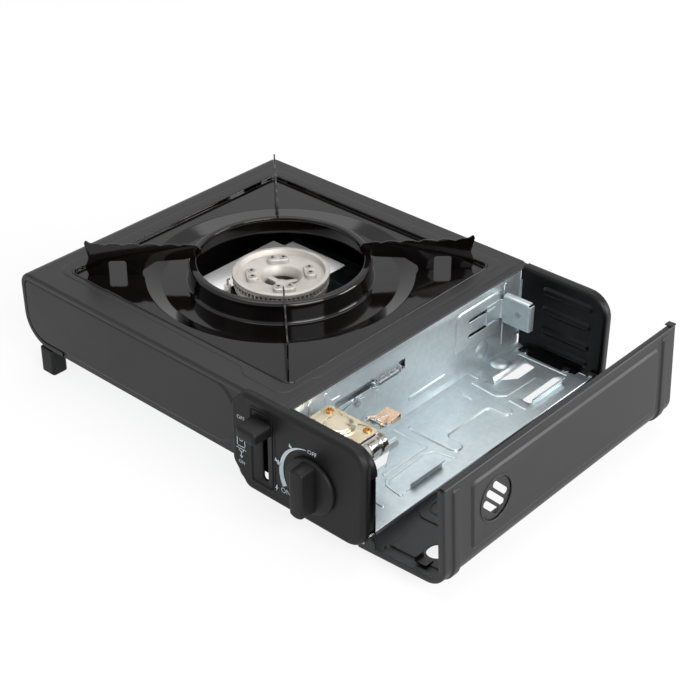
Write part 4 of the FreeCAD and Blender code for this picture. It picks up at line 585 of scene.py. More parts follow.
def makePartition():
    bm = bmesh.new()
    p = partition
    field = box4(46.5, 99.5, 36.5, 70, 5)
    slots = [roundedLoop(box4(61, 95, level - 1.5, level + 1.5, 1), 2) for level in (60, 47)]
    places = [(roundedLoop(field, 5), softPress(1.8, 0.9, 3), slots)]
    places.append((ringLoop(78.3, 26.6, 8.0, 28), domePress(7.5, 1.3)))
    for path in ([(104.5, 21), (104.5, 73)], [(-106.4, 64), (-106.4, 74)],
                 [(-91.5, 73), (-90.5, 67), (-86, 63.5), (-77, 63.2)], [(-39, 50), (-40, 39), (-50, 37.6),
                         (-56, 30)], [(-5, 25), (36, 25)]):
        places.append((beadLoop(path, 1.5), softPress(1.1, 0.7, 3)))
    holes = [roundedLoop(box4(-82.1, -42.1, 54.8, 61.2, 1.4), 3), roundedLoop(box4(-16.7, -9.5, 54.3, 62.3,
            0.8), 2), ringLoop(-90, 49, 2.5, 20), ringLoop(-112.5, 23.6, 2.0, 16)]
    pressedSheet(bm, box4(p["front"], p["back"], p["low"] + 0.7, p["top"]), places, holes)
    low = openEdges(bm, lambda v: abs(v.y - p["low"] - 0.7) < 0.01)
    turnEdge(bm, low, [(0.25, -0.15), (0.3, -0.45), (0.1, -0.6), (0, 1.2 - p["foot"])])
    top = openEdges(bm, lambda v: abs(v.y - p["top"]) < 0.01)
    turnEdge(bm, top, [(0, p["wall"]), (0, 6)])
    for end in (p["front"], p["back"]):
        strip(bm, [(end, 20.5, 0.2), (end, 68, 0.2), (end, 68, p["tab"]), (end, 20.5, p["tab"])])
    hook = roundedLoop([(55.3, 0, 0), (61.3, 0, 0), (61.3, 4.2, 1.6), (55.3, 4.2, 1.6)], 4)
    turned(bm, Matrix(((0, 0, 1, -17.5), (1, 0, 0, 0), (0, 1, 0, 0), (0, 0, 0, 1))),
           lambda: pressedSheet(bm, hook, (), [ringLoop(58.3, 1.2, 0.85, 16)]))
    finishPiece(bm, "PartitionWall", "housing", "galvanised", ["partition_wall"],
                place=at(p["face"], 0, 0, facingBay), wall=p["wall"], outside=(0, 0, 1), sharp=30)


# End walls of the bay: pressed pans with a band turned away from the bay

pans = {"left": 129.9, "right": 204.6, "top": 79.7, "low": 7.5, "corner": 18, "lowCorner": 5, "depth": 7.0,
        "wall": 0.8, "bend": 3.2, "footLevel": 11.8, "footDepth": 12}


def makePan(name, node, place, mirror, right, ribs, holes):
    bm = bmesh.new()
    p = pans
    way = -1 if mirror else 1
    b = p["bend"]
    corners = [(p["left"] * way, p["low"] + b), ((right - b) * way, p["low"] + b, p["lowCorner"] - b),
               ((right - b) * way, p["top"] - b, p["corner"] - b), (p["left"] * way, p["top"] - b)]
    places = [(roundedLoop([(x * way, y, r) for x, y, r in box4(149, 193, level - 3.8, level + 3.8, 3.6)],
            5), softPress(3.2, 1.7, 5)) for level in ribs]
    holes = [ringLoop(x * way, z, r, 20) for x, z, r in holes]
    pressedSheet(bm, roundedLoop(corners, 8), places, holes)

    def onHole(point):
        return any((point.xy - (h[0].xy + h[10].xy) / 2).length < (h[0].xy - h[10].xy).length / 2 + 0.05
                   for h in holes)
    nearRim = openEdges(bm, lambda v: v.y < p["low"] + b + 0.01 or v.y > p["top"] - b - 0.01
                        or abs(v.x) > right - b - p["corner"] - 0.01)
    outer = [e for e in nearRim if not all(abs(abs(v.co.x) - p["left"]) < 0.01 for v in e.verts)
             and not any(onHole(v.co) for v in e.verts)]
    turnEdge(bm, outer, roundTurn(b, 90, 5) + [(0, p["depth"] - b)])
    foot = [(x * way, p["footLevel"], z) for x, z in ((135.5, 0), (187.5, 0), (187.5, p["footDepth"]),
            (135.5, p["footDepth"]))]
    strip(bm, foot)
    finishPiece(bm, name, "housing", "bayPaint", [node], place=place, wall=p["wall"],
                outside=(0, 0, 1), sharp=40)


def makeBay():
    makeBayFloor()
    makePartition()
    makePan("RearEndWall", "rear_end_wall", at(0, 124, 0, facingFront), False, pans["right"],
            (67, 51, 34, 20), [(198.5, 12.5, 2.0)])
    makePan("FrontEndPlate", "front_end_plate", at(0, -123, 0, facingBack), True, 203.5, (),
            [(198.5, 12.5, 2.0), (161, 42, 3.6)])


makeBay()
print("bay made")

# Lid: drawn unrolled, as distance along its skin from the hinge's level and front to back, then bent

lidSize = {"left": -68.0, "top": 67.0, "side": 7.5, "corner": 15.0, "hem": -3.5, "near": -132.5,
           "far": 123.0, "wall": 0.8, "flange": 5.0, "lip": 4.0, "fieldHeight": 1.3, "ridgeHeight": 1.5,
           "open": 86.5, "hingeX": 198.5, "hingeZ": 12.5, "vent": (-35.5, -82.0), "ventRadius": 16.2,
           "slotHalf": 2.3}


def lidPlace():
    return at(lidSize["hingeX"], 0, lidSize["hingeZ"], Matrix.Rotation(math.radians(lidSize["open"]), 4,
            "Y"))


def makeLid():
    bm = bmesh.new()
    s = lidSize
    bendStart = s["side"] - s["corner"]
    bendLength = s["corner"] * math.pi / 2
    sideStart = bendStart + bendLength

    def along(level):  # place along the skin of a height on the side
        return sideStart + s["top"] - s["corner"] - level
    hem = along(s["hem"])
    left = s["left"] + 1.8
    near, far = s["near"] + 1.4, s["far"] - 1.4
    wholeRidge = softPress(2.0, s["ridgeHeight"], 4)
    slots = []
    lean = math.sqrt(0.5)
    for offset, half in ((-6.9, 9.8), (0.0, 12.0), (6.9, 9.8)):
        cx, cy = s["vent"][0] + offset * lean, s["vent"][1] - offset * lean
        corner = [(cx + lean * (a * half - b), cy + lean * (a * half + b), 2.2) for a,
                  b in ((-1, -s["slotHalf"]), (1, -s["slotHalf"]), (1, s["slotHalf"]), (-1, s["slotHalf"]))]
        slots.append(roundedLoop(corner, 4))
    vent = (ringLoop(*s["vent"], s["ventRadius"], 40), softPress(1.4, -1.9, 3), slots)
    window = roundedLoop(box4(along(39), along(6), -58, 4, 8), 6)
    frameInner = (roundedLoop(box4(along(42), along(3), -76, 18, 9), 6), softPress(1.6, 1.4, 3), [window])
    places = [(roundedLoop(box4(-59.5, -8.5, -106.5, 102, 4.5), 5), softPress(2.8, s["fieldHeight"], 5),
               [vent]), (roundedLoop(box4(left + 1.6, along(8), -125.0, -117.0, 3.8), 5), wholeRidge),
               (roundedLoop(box4(left + 1.6, along(8), 105.6, 113.6, 3.8), 5), wholeRidge),
               (roundedLoop(box4(along(46), along(-1.5), -84.5, 28, 12), 6), softPress(2.0, -1.9, 4),
                [frameInner])]
    oval = roundedLoop(box4(along(45), along(31.5), -112, -97, 6.5), 6)
    edges = [(left, near), (hem, near), (hem, far), (left, far)]
    pressedSheet(bm, edges, places, [oval], 0.0)
    flange(bm, lambda p: abs(p.x - left) < 0.01, 1.8, s["lip"])
    for end in (near, far):
        flange(bm, lambda p: abs(p.y - end) < 0.01 and p.x > left - 0.01, 1.4, s["flange"], 4)
    for cut in [bendStart + bendLength * k / 13 for k in range(1, 13)] + [bendStart, sideStart]:
        everything = bm.verts[:] + bm.edges[:] + bm.faces[:]
        bmesh.ops.bisect_plane(bm, geom=everything, plane_co=(cut, 0, 0), plane_no=(1, 0, 0))
    for vert in bm.verts:
        run, height = vert.co.x - bendStart, vert.co.z
        if run <= 0:
            vert.co = Vector((vert.co.x, vert.co.y, s["top"] + height))
        elif run < bendLength:
            turn = run / s["corner"]
            reach = s["corner"] + height
            vert.co = Vector((bendStart + reach * math.sin(turn), vert.co.y,
                              s["top"] - s["corner"] + reach * math.cos(turn)))
        else:
            vert.co = Vector((s["side"] + height, vert.co.y, s["top"] - s["corner"] - (run - bendLength)))
    finishPiece(bm, "Lid", "lid", "powderCoat", ["lid"], place=lidPlace(), wall=s["wall"],
                outside=(0.7, 0, 0.7), sharp=40)


def makeLidEars():
    bm = bmesh.new()
    s = lidSize
    ear = roundedLoop([(-4.6, -4.6, 4.4), (s["side"] - 0.9, -4.6, 1.0), (s["side"] - 0.9, 10, 1),
                       (-1, 10, 2), (-4.6, 4.6, 4.0)], 5)
    for level in (s["near"] + 0.05, s["far"] - 0.85):
        turned(bm, at(0, level, 0, facingFront), lambda: pressedSheet(bm, ear, (),
                [ringLoop(0, 0, 2.1, 24)]))
    tab = roundedLoop([(117, -3), (122.4, -3), (122.4, 3.2, 1.2), (117, 3.2, 1.2)], 3)
    turned(bm, at(s["left"] + 0.02, 0, s["top"] - 2.4, Matrix(((0, 0, -1, 0), (1, 0, 0, 0), (0, 1, 0, 0),
            (0, 0, 0, 1)))), lambda: addFace(bm, tab))
    finishPiece(bm, "LidEars", "lid", "powderCoat", place=lidPlace(), wall=s["wall"],
                rim=0.15)


# Front and back panels of the housing, and the tray

panelSize = {"left": -139.2, "right": 129.0, "top": 78.7, "low": 23.3, "foot": 21.3, "curl": -99.0,
             "face": 130.2, "raise": 1.2, "slope": 3.2, "wall": 0.8}


def makeEndPanel(name, node, place, way, fieldRight, fieldCorner, holes):
    bm = bmesh.new()
    p = panelSize
    outline = [(x * way, y, r) for x, y, r in ((p["right"], p["top"], 0), (p["left"], p["top"], 8.7),
            (p["left"], p["low"], 22.7), (p["curl"], p["low"], 0), (p["curl"], p["foot"] + 0.6, 0),
            (p["right"], p["foot"] + 0.6, 0))]
    field = [(x * way, y, r) for x, y, r in ((fieldRight, 76, fieldCorner), (-136.5, 76, 7),
            (-136.5, 26, 20), (fieldRight, 26, fieldCorner))]
    pressedSheet(bm, roundedLoop(outline, 8), [(roundedLoop(field, 8), softPress(p["slope"], p["raise"],
            5))], holes)
    foot = openEdges(bm, lambda v: abs(v.y - p["foot"] - 0.6) < 0.01)
    turnEdge(bm, foot, roundTurn(0.6, 90, 3) + [(0, 9.0)])
    finishPiece(bm, name, "housing", "powderCoat", [node], place=place, wall=p["wall"],
                outside=(0, 0, 1), sharp=40)


trayMeasures = {"half": (112.0, 108.5), "rim": 2.5, "corner": 7.0, "floor": 78.0, "wellTop": 100.0,
                "wellFoot": 87.0, "well": 73.5, "collar": 67.7, "mouth": 61.5, "collarTop": 90.0,
                "wall": 1.0, "roll": 2.6}


def makeTray():
    bm = bmesh.new()
    t = trayMeasures
    inset = t["rim"]
    inner = roundedLoop(box4(inset - t["half"][0], t["half"][0] - inset, inset - t["half"][1],
            t["half"][1] - inset, t["corner"] - inset), 7)
    well = ringLoop(0, 0, t["wellTop"], 128)
    pressedSheet(bm, inner, (), [well], t["floor"])
    outer = openEdges(bm, lambda v: v.xy.length > t["wellTop"] + 2)
    turnEdge(bm, outer, [(0.25, -0.1), (0.25, -0.4), (0.05, -1.3), (0.1, -0.6), (0.25, -0.4), (0.4, -0.2),
            (0.4, 0.0), (0.35, 0.25), (0.3, 0.4), (0.15, 0.5), (0, 3.6)])
    ring = openEdges(bm, lambda v: v.xy.length < t["wellTop"] + 1)
    slopeRun = t["wellTop"] - t["wellFoot"]
    drop = t["floor"] - t["well"]
    steps = [(0.6, 0.05), (0.6, 0.25), (slopeRun - 2.6, drop - 0.6), (0.7, 0.25), (0.7, 0.05),
             (t["wellFoot"] - t["collar"] - 2.8, 0)]
    steps += [(a, -b) for a, b in roundTurn(2.8, 90, 6)]
    rise = t["collarTop"] - t["well"] - 2.8 - t["roll"]
    steps += [(0, -rise)] + [(b, -a) for a, b in roundTurn(t["roll"], 90, 6)]
    steps += [(t["collar"] - t["roll"] - t["mouth"] - 1.2, 0)] + roundTurn(1.2, 90, 4) + [(0, 1.4)]
    turnEdge(bm, ring, steps)
    finishPiece(bm, "DripTray", "tray", "enamel", ["drip_tray"], wall=t["wall"],
                outside=(0, 0, 1), sharp=40)


def makePanels():
    front = at(0, -panelSize["face"], 0, facingFront)
    back = at(0, panelSize["face"], 0, facingBack)
    leverSlot = roundedLoop(box4(114.8, 123.8, 26.8, 74.8, 2), 3)
    makeEndPanel("FrontPanel", "front_panel", front, 1, 84, 20, [leverSlot])
    makeEndPanel("BackPanel", "back_panel", back, -1, 123.5, 20, [])


makeLid()
makeLidEars()
makePanels()
makeTray()
for blade in range(1, 5):
    softenedNode("pan_support_%d" % blade, "tray", "enamel", 0.35, segments=3)
print("lid, panels and tray made")

# Burner: the head with its ring of slots, its bosses and its three-armed middle

burner = {"top": 78.5, "radius": 36.2, "dish": 74.5, "skirtBase": 66.0, "middle": 12.5, "middleDrop": 5.7,
          "bossCircle": 21.5, "portOffset": 4.2, "teeth": 64, "bossAngles": (50, 140, 230, 320),
          "armAngles": (60, 180, 300), "tooth": (2.2, 1.5, 3.6), "arm": (13.4, 4.4, 1.8), "hub": 4.5,
          "port": 1.3, "bushing": 2.8}


# Turns a closed profile, given as (radius, height), about the upright axis
def spinProfile(bm, profile, steps=96):
    verts = [bm.verts.new((r, 0, z)) for r, z in profile]
    edges = [bm.edges.new((verts[i - 1], verts[i])) for i in range(len(verts))]
    bmesh.ops.spin(bm, geom=verts + edges, cent=(0, 0, 0), axis=(0, 0, 1), angle=2 * math.pi, steps=steps,
                   use_merge=True)


# A block with softened edges, centred, then placed
def block(bm, size, matrix, soft=0.3, segments=2):
    made = bmesh.ops.create_cube(bm, size=1.0)["verts"]
    bmesh.ops.scale(bm, vec=size, verts=made)
    bmesh.ops.transform(bm, matrix=matrix, verts=made)
    if soft:
        edges = list({e for v in made for e in v.link_edges})
        bmesh.ops.bevel(bm, geom=edges, offset=soft, segments=segments, affect="EDGES", profile=0.5,
                        material=-1)


def disc(bm, radius, height, matrix, soft=0.3, segments=48):
    before = set(bm.verts)
    bmesh.ops.create_cone(bm, cap_ends=True, segments=segments, radius1=radius, radius2=radius,
            depth=height, matrix=matrix)
    if soft:
        fresh = [v for v in bm.verts if v not in before]
        rims = [e for e in {e for v in fresh for e in v.link_edges} if any(len(f.verts) > 4
                for f in e.link_faces)]
        bmesh.ops.bevel(bm, geom=rims, offset=soft, segments=2, affect="EDGES", profile=0.5, material=-1)


def aroundAxis(angle, reach, level):
    return Matrix.Rotation(math.radians(angle), 4, "Z") @ at(reach, 0, level)


def makeBurner():
    bm = bmesh.new()
    b = burner
    top, dish, r = b["top"], b["dish"], b["radius"]
    low = dish - b["middleDrop"]
    profile = [(b["middle"], low), (15.0, dish - 1.2), (15.6, dish - 0.3), (16.6, dish), (r - 4.2, dish),
               (r - 3.7, dish + 0.5), (r - 3.5, top - 0.3), (r - 3.2, top), (r - 0.5, top),
               (r - 0.15, top - 0.15), (r, top - 0.5), (r, top - 3.0), (r - 0.4, top - 3.4),
               (r - 3.0, top - 3.5), (r - 3.0, top - 7.0), (r - 1.0, top - 7.1), (r - 0.6, top - 7.4),
               (r - 0.6, top - 8.2), (r - 1.0, top - 8.6), (r - 1.6, top - 8.7), (r - 1.6, b["skirtBase"]),
               (r - 4.0, b["skirtBase"]), (r - 4.0, dish - 2), (16.2, dish - 2), (15.0, dish - 2.8),
               (b["middle"], low - 2)]
    spinProfile(bm, profile)
    for k in range(b["teeth"]):
        block(bm, b["tooth"], aroundAxis(360 / b["teeth"] * k, r - 1.9, top - 5.2), 0)
    for angle in b["armAngles"]:
        block(bm, b["arm"], aroundAxis(angle, 6.6, low - 1.1), 0.4)
    disc(bm, b["hub"], 1.9, at(0, 0, low - 1.05), 0.4)
    finishPiece(bm, "BurnerHead", "housing", "castAluminium", ["burner_head"], sharp=45)
    # Painted shade: a thin dark band behind the teeth stands in for the shade deep inside the flame slots
    bm = bmesh.new()
    spinProfile(bm, [(r - 2.9, top - 6.9), (r - 2.7, top - 6.9), (r - 2.7, top - 3.6),
                     (r - 2.9, top - 3.6)])
    finishPiece(bm, "FlameSlotShade", "housing", "paintedShade")
    bosses, rings, mouths = bmesh.new(), bmesh.new(), bmesh.new()

    def drawBoss():
        before = set(bosses.edges)
        holes = [ringLoop(0, side * b["portOffset"], b["port"], 20) for side in (-1, 1)]
        outer = pressedSheet(bosses, roundedLoop(box4(-3.6, 3.6, -7.4, 7.4, 2.6), 4), (), holes)
        turnEdge(bosses, outer, roundTurn(0.8, 90, 3) + [(0.4, 3.4)])
        ports = [Vector((0, side * b["portOffset"], 0)) for side in (-1, 1)]
        rims = openEdges(bosses, lambda v: min((v - port).length for port in ports) < b["port"] + 0.1)
        turnEdge(bosses, [e for e in rims if e not in before], [(0, 9)])

    hole, edge = b["port"], b["bushing"]
    ring = [(hole, 0), (edge, 0), (edge, 0.6), (edge - 0.2, 0.8), (hole + 0.2, 0.8), (hole, 0.6)]
    for angle in b["bossAngles"]:
        place = aroundAxis(angle, b["bossCircle"], dish + 3.2)
        turned(bosses, place, drawBoss)
        for side in (-1, 1):
            turned(rings, place @ at(0, side * b["portOffset"], -0.05), lambda: spinProfile(rings, ring,
                    24))
            # Painted shade: a dark disc just inside each port's mouth stands in for the shade down the hole
            disc(mouths, b["port"] + 0.02, 0.4, place @ at(0, side * b["portOffset"], 0.35), 0, 20)
    finishPiece(bosses, "PortBosses", "housing", "castAluminium", wall=0.3, outside=(0, 0, 1),
                sharp=50, even=False)
    finishPiece(rings, "PortBushings", "housing", "nickel", ["port_bushings"], sharp=25)
    finishPiece(mouths, "PortMouthShade", "housing", "paintedShade")


# Regulator: pressed cover with its bean-shaped dome, screws and the turned inlet

regulator = {"x": 156.0, "y": -108.0, "plate": 65.5, "gasket": 0.8, "cover": 1.2, "inletX": 165.0,
             "inletZ": 46.0, "inletMouth": -78.5, "chamber": (13.0, 22.0), "inletPipe": (7.6, 17.0),
             "screwSpots": [(16.5 * a, 8.5 * b) for a in (-1, 1) for b in (-1, 1)]}


def makeRegulator():
    g = regulator
    top = g["plate"] + g["gasket"] + g["cover"]
    bm = bmesh.new()
    dent = math.radians(48)

    def bean(radius, depth):
        points = []
        for i in range(48):
            a = 2 * math.pi * i / 48
            away = (a - dent + math.pi) % (2 * math.pi) - math.pi
            reach = radius - depth * math.exp(-(away / 0.55) ** 2)
            points.append(Vector((reach * math.cos(a), reach * math.sin(a), 0)))
        return points
    upper = (bean(10.4, 4.6), [(0.3, 0.25), (0.5, 0.8), (0.6, 0.6), (0.8, 0.4), (1.0, 0.15)])
    seat = (ringLoop(0, 0, 13.4, 48), [(0.5, 0.15), (0.6, 0.6), (0.5, 0.5), (0.5, 0.15)], [upper])
    holes = [ringLoop(x, y, 1.5, 16) for x, y in g["screwSpots"]]
    pressedSheet(bm, roundedLoop(box4(-21.5, 21.5, -14, 14, 3.2), 5), [seat], holes)
    finishPiece(bm, "DiaphragmCover", "housing", "passivated", ["diaphragm_cover"],
                place=at(g["x"], g["y"], top), wall=g["cover"], outside=(0, 0, 1), rim=0.2)
    bm = bmesh.new()
    head = [(0.001, 0.9), (0.9, 1.0), (1.3, 2.3), (2.5, 2.2), (3.1, 1.6), (3.2, 0.4), (3.2, 0), (0.001, 0)]
    for x, y in g["screwSpots"]:
        turned(bm, at(x, y, 0), lambda: spinProfile(bm, head, 20))
        disc(bm, 1.35, 4.4, at(x, y, -2.2), 0, 16)
        block(bm, (4.2, 0.9, 0.9), at(x, y, 2.05, Matrix.Rotation(0.6 + math.copysign(1, x), 4, "Z")), 0)
    finishPiece(bm, "RegulatorScrews", "housing", "brass", ["regulator_screws"],
                place=at(g["x"], g["y"], top))
    bm = bmesh.new()
    collar = [(5.6, 0), (7.9, 0), (8.7, -0.6), (8.9, -1.4), (8.9, -5.6), (8.6, -6.2), (8.0, -6.3),
              (8.0, -7.4), (8.4, -7.5), (8.6, -7.9), (8.6, -15.5), (8.3, -16), (5.6, -16)]
    spinProfile(bm, collar, 64)
    finishPiece(bm, "InletCollar", "housing", "nickel", ["inlet_collar"],
                place=at(g["inletX"], g["inletMouth"], g["inletZ"], Matrix.Rotation(math.radians(-90), 4,
                        "X")), sharp=30)
    bm = bmesh.new()
    disc(bm, *g["chamber"], at(0, 0, g["plate"] - 11.0), 0.8)
    disc(bm, *g["inletPipe"], at(g["inletX"] - g["x"], 6.0, g["inletZ"], facingFront), 0.5)
    block(bm, (42, 27, 3.0), at(0, 0, g["plate"] - 1.5), 0.8)
    block(bm, (16, 10, 24), at(-4, -6, g["plate"] - 26.0), 0.8)
    finishPiece(bm, "RegulatorBody", "housing", "castAluminium", ["regulator_body"],
                place=at(g["x"], g["y"], 0), sharp=45)


# Pusher: a pressed bracket with its top and outer edge turned back and its inner edge on the partition

pusher = {"face": 98.2, "left": 130.2, "right": 156.2, "low": 44.0, "high": 67.0, "wall": 1.0, "bend": 1.8,
          "turn": 5.5}


def makePusher():
    bm = bmesh.new()
    p = pusher
    b = p["bend"]
    outline = [(p["left"] + b, p["low"]), (p["right"] - b, p["low"]), (p["right"] - b, p["high"] - b),
               (p["left"] + b, p["high"] - b), (p["left"] + b, p["high"] - 4),
               (p["left"] + b, p["low"] + 3)]
    pressedSheet(bm, outline, (), [ringLoop(p["left"] + 15.6, 55.5, 1.3, 16)])
    flange(bm, lambda v: abs(v.x - p["right"] + b) < 0.01, b, p["turn"])
    flange(bm, lambda v: abs(v.y - p["high"] + b) < 0.01 and abs(v.z) < 0.01, b, p["turn"])
    left = openEdges(bm, lambda v: abs(v.x - p["left"] - b) < 0.01
                     and p["low"] + 2.9 < v.y < p["high"] - 3.9)
    turnEdge(bm, left, [(x, -y) for x, y in roundTurn(b, 90, 5)] + [(0, -15)])
    for level in (60.0, 47.0):
        strip(bm, [(123.9, level, 7), (131, level, 7), (131, level, 17), (123.9, level, 17)])
    finishPiece(bm, "CanPusher", "pusher", "galvanised", ["can_pusher"],
                place=at(0, p["face"], 0, facingFront), wall=p["wall"], outside=(0, 0, 1), rim=0.2)


makeBurner()
makeRegulator()
makePusher()
softenedNode("reflector_plate", "housing", "stainless", 0.2)
softenedNode("guide_tongue", "tongue", "phosphorBronze", 0.2)
for foot in ("front_left", "front_right", "rear_left", "rear_right"):
    softenedNode("foot_" + foot, "housing", "moulded", 0.8, segments=3)
print("burner, regulator and pusher made")

# Control panel: a moulded shell with soft edges, the lever's trough and the printed marks

controls = {"face": -139.9, "left": 88.0, "right": 205.1, "low": 9.7, "top": 85.5, "corner": 14.0,
            "soft": 3.6, "wall": 2.2, "depth": 6.4, "knobX": 161.0, "knobZ": 42.0, "knobRadius": 20.5,
            "dial": 25.0, "skirt": 3.5, "reach": 15.5, "grip": 11.4, "leverX": 116.5, "leverZ": 66.8,
            "slotX": 119.3, "leverWidth": 19.0, "leverHeight": 10.5, "leverReach": 15.0}


def makeControlPanel():
    bm = bmesh.new()
    c = controls
    s = c["soft"]
    left, right, low, top = c["left"] + s, c["right"] - s, c["low"] + s, c["top"] - s
    outline = roundedLoop([(left + 11.6, low, 2.5), (right, low, c["corner"] - s),
            (right, top, c["corner"] - s), (left + 9.4, top, 3), (left, top - 9.6, 3.5),
            (left, low + 15, 3)], 8)
    slot = roundedLoop(box4(c["slotX"] - 2.7, c["slotX"] + 2.7, 23.8, 72.8, 2.4), 4)
    trough = (roundedLoop(box4(105.2, 128.6, 17.2, 79.2, 3.4), 5), [(0.5, -0.3), (0.4, -0.5), (0.7, -1.1),
            (0.4, -0.4), (0.5, -0.2)], [slot])
    shaft = ringLoop(c["knobX"], c["knobZ"], 3.6, 24)
    pressedSheet(bm, outline, [trough], [shaft])
    edge = openEdges(bm, lambda v: min((v.xy - p.xy).length for p in outline) < 0.01)
    turnEdge(bm, edge, roundTurn(s, 90, 8) + [(0, c["depth"] - s)])
    ring = roundedLoop(box4(93.5, 190, 15, 74.7, 7), 6)
    edges = loopEdges(bm, ring, -1.2)
    made = bmesh.ops.extrude_edge_only(bm, edges=edges)["geom"]
    bmesh.ops.translate(bm, verts=[v for v in made if isinstance(v, bmesh.types.BMVert)], vec=(0, 0, -7.6))
    finishPiece(bm, "ControlPanel", "housing", "moulded", ["control_panel"],
                place=at(0, c["face"], 0, facingFront), wall=c["wall"], outside=(0, 0, 1), sharp=45,
                even=False)


# Knob and lever are drawn in front of the panel, across and up, and grow towards the user

def makeKnob():
    bm = bmesh.new()
    c = controls
    r = c["knobRadius"]
    back = 0.3
    skirt = [(3.0, back), (r - 0.4, back), (r, back + 0.4), (r, c["skirt"] - 1.2),
             (r - 0.4, c["skirt"] - 0.4), (r - 1.3, c["skirt"]), (3.0, c["skirt"])]
    spinProfile(bm, skirt, 96)
    half, reach = c["grip"] / 2, r - 0.7
    outline = roundedLoop([(-half, 1.8 - reach, 2.4), (0, -reach - 0.3, 9), (half, 1.8 - reach, 2.4),
            (half, reach - 1.8, 2.4), (0, reach + 0.3, 9), (-half, reach - 1.8, 2.4)], 6)
    growBlock(bm, outline, c["skirt"] - 1, c["reach"], 0.94, 1.5)
    finishPiece(bm, "ControlKnob", "knob", "moulded", ["control_knob"],
                place=at(c["knobX"], c["face"], c["knobZ"], facingFront), sharp=40)


# A block that grows from an outline, narrowing a little as a moulding does, with a rounded front edge
def growBlock(bm, outline, start, end, narrow, soft, drop=0.0):
    face = addFace(bm, outline, start)
    made = bmesh.ops.extrude_face_region(bm, geom=[face])["geom"]
    verts = [v for v in made if isinstance(v, bmesh.types.BMVert)]
    bmesh.ops.translate(bm, verts=verts, vec=(0, -drop, end - start))
    middle = sum((v.co for v in verts), Vector()) / len(verts)
    bmesh.ops.scale(bm, vec=(narrow, narrow, 1), verts=verts, space=Matrix.Translation(-middle))
    front = [e for e in bm.edges if all(v in verts for v in e.verts) and len(e.link_faces) == 2
             and e.calc_face_angle(0) > 0.8]
    bmesh.ops.bevel(bm, geom=front, offset=soft, segments=4, affect="EDGES", profile=0.5, material=-1)


def makeLever():
    bm = bmesh.new()
    c = controls
    half, tall = c["leverWidth"] / 2, c["leverHeight"] / 2
    growBlock(bm, roundedLoop(box4(-half, half, -tall, tall, 3.0), 6), -1.8, c["leverReach"], 0.88, 2.2,
              0.8)
    offset = c["slotX"] - c["leverX"]
    block(bm, (4.6, 8, 24), at(offset, 0, -13), 0.3)
    block(bm, (16.5, 12, 1.6), at(offset - 0.6, 0, -5.8), 0.3)
    block(bm, (6.4, 8, 9), at(offset + 2.4, 0, -27.4), 0.3)
    finishPiece(bm, "LockLever", "lever", "moulded", ["lock_lever"],
                place=at(c["leverX"], c["face"], c["leverZ"], facingFront), sharp=40)


# Printed marks: words, the dial's tapering band, flames, a spark and the cartridge sign

def word(bm, text, x, y, size):
    curve = bpy.data.curves.new("word", "FONT")
    curve.body = text
    curve.size = size
    curve.align_x = "CENTER"
    curve.align_y = "CENTER"
    curve.resolution_u = 3
    holder = bpy.data.objects.new("word", curve)
    mesh = bpy.data.meshes.new_from_object(holder)
    before = set(bm.verts)
    bm.from_mesh(mesh)
    bmesh.ops.translate(bm, vec=(x, y, 0), verts=[v for v in bm.verts if v not in before])
    bpy.data.objects.remove(holder)
    bpy.data.curves.remove(curve)
    bpy.data.meshes.remove(mesh)


def line(bm, x0, y0, x1, y1, width):
    way = Vector((x1 - x0, y1 - y0)).normalized() * width / 2
    side = Vector((-way.y, way.x))
    pressedSheet(bm, [(x0 - way.x - side.x, y0 - way.y - side.y), (x1 + way.x - side.x,
            y1 + way.y - side.y), (x1 + way.x + side.x, y1 + way.y + side.y),
            (x0 - way.x + side.x, y0 - way.y + side.y)])


def flame(bm, x, y, size):
    points = [(0, -0.5, 0.3), (0.45, -0.25, 0.2), (0.3, 0.25, 0.1), (0.1, 0.1, 0.05), (-0.05, 0.6, 0.05),
              (-0.4, 0.0, 0.2), (-0.35, -0.35, 0.15)]
    pressedSheet(bm, roundedLoop([(x + a * size, y + b * size, r * size * 0.5) for a, b, r in points], 2))


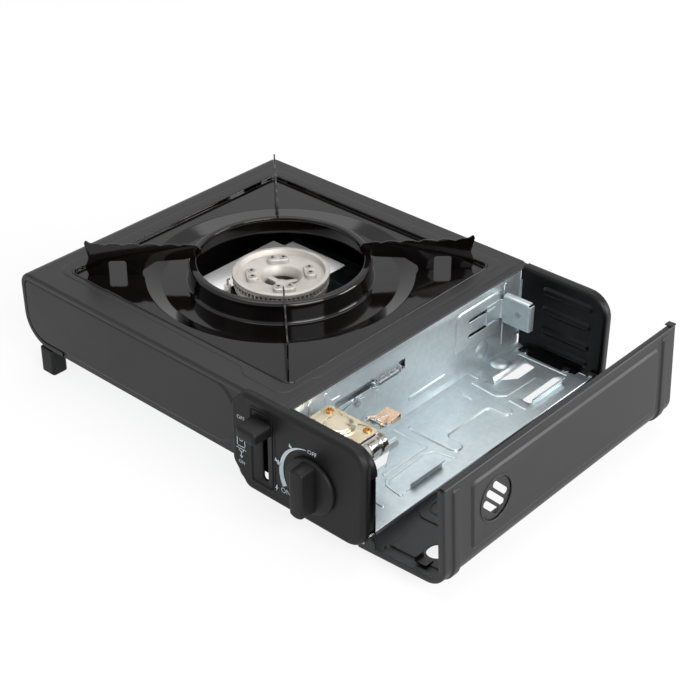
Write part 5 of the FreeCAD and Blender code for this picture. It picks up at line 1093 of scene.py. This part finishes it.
def makePrint():
    bm = bmesh.new()
    c = controls
    start, end, count = 100, 209, 40
    dial = c["dial"]
    outer, inner = [], []
    for i in range(count + 1):
        share = i / count
        a = math.radians(start + (end - start) * share)
        wide = 0.25 + 4.2 * share ** 0.8
        outer.append((c["knobX"] + (dial + wide) * math.cos(a), c["knobZ"] + (dial + wide) * math.sin(a)))
        inner.append((c["knobX"] + dial * math.cos(a), c["knobZ"] + dial * math.sin(a)))
    pressedSheet(bm, outer + inner[::-1])
    for text, x, y, size in (("OFF", 98.0, 64.7, 4.2), ("ON", 97.6, 28.7, 3.8), ("OFF", 161.5, 66.8, 4.6),
            ("ON", 138.0, 24.6, 5.6)):
        word(bm, text, x, y, size)
    for x, y, size in ((142.5, 63.7, 3.0), (129.6, 46.6, 3.0), (132.0, 45.4, 3.8)):
        flame(bm, x, y, size)
    pressedSheet(bm, [(129.6, 26.2), (130.6, 26.6), (130.0, 24.4), (131.2, 24.6), (129.0, 20.8),
                      (129.5, 23.4), (128.4, 23.2)])
    for x0, y0, x1, y1 in ((94.0, 41.5, 94.0, 53.0), (101.0, 41.5, 101.0, 53.0), (94.0, 41.5, 101.0, 41.5),
            (93.2, 39.6, 101.8, 39.6), (95.6, 37.4, 99.4, 37.4), (95.6, 39.6, 95.6, 37.4),
            (99.4, 39.6, 99.4, 37.4), (97.5, 36.6, 97.5, 33.4), (96.2, 46.0, 98.8, 46.0),
            (98.8, 46.0, 98.8, 50.6), (96.2, 46.0, 96.2, 48.4), (96.2, 48.4, 98.8, 48.4)):
        line(bm, x0, y0, x1, y1, 0.6)
    pressedSheet(bm, [(97.5, 31.8), (99.0, 34.2), (96.0, 34.2)])
    finishPiece(bm, "PanelPrint", "housing", "ink", place=at(0, c["face"] - 0.03, 0,
            facingFront), wall=0.03, outside=(0, 0, 1))


makeControlPanel()
makeKnob()
makeLever()
makePrint()
print("controls made")

# Finishes of the CAD pieces that stay as they are

keptFinish = {
    "powderCoat": "lid_catch",
    "moulded": "piezo_igniter",
    "galvanised": "bottom_plate slide_bar latch_lever burner_stand",
    "castAluminium": "burner_body jet_holder",
    "turnedAluminium": "mixing_tube",
    "nickel": "knob_shaft floor_screws panel_screws lid_hinge_pins latch_pin pusher_rivet tongue_pin",
    "copper": "gas_pipe",
    "springSteel": "lever_spring tongue_spring electrode",
    "rubber": "diaphragm_gasket inlet_seal",
    "ceramic": "electrode_insulator",
    "leadSheath": "ignition_lead",
}
for key, names in keptFinish.items():
    for name in names.split():
        if not nodes[name].material_slots:
            nodes[name].data.materials.append(finish[key])
        for slot in nodes[name].material_slots:
            slot.material = finish[key]
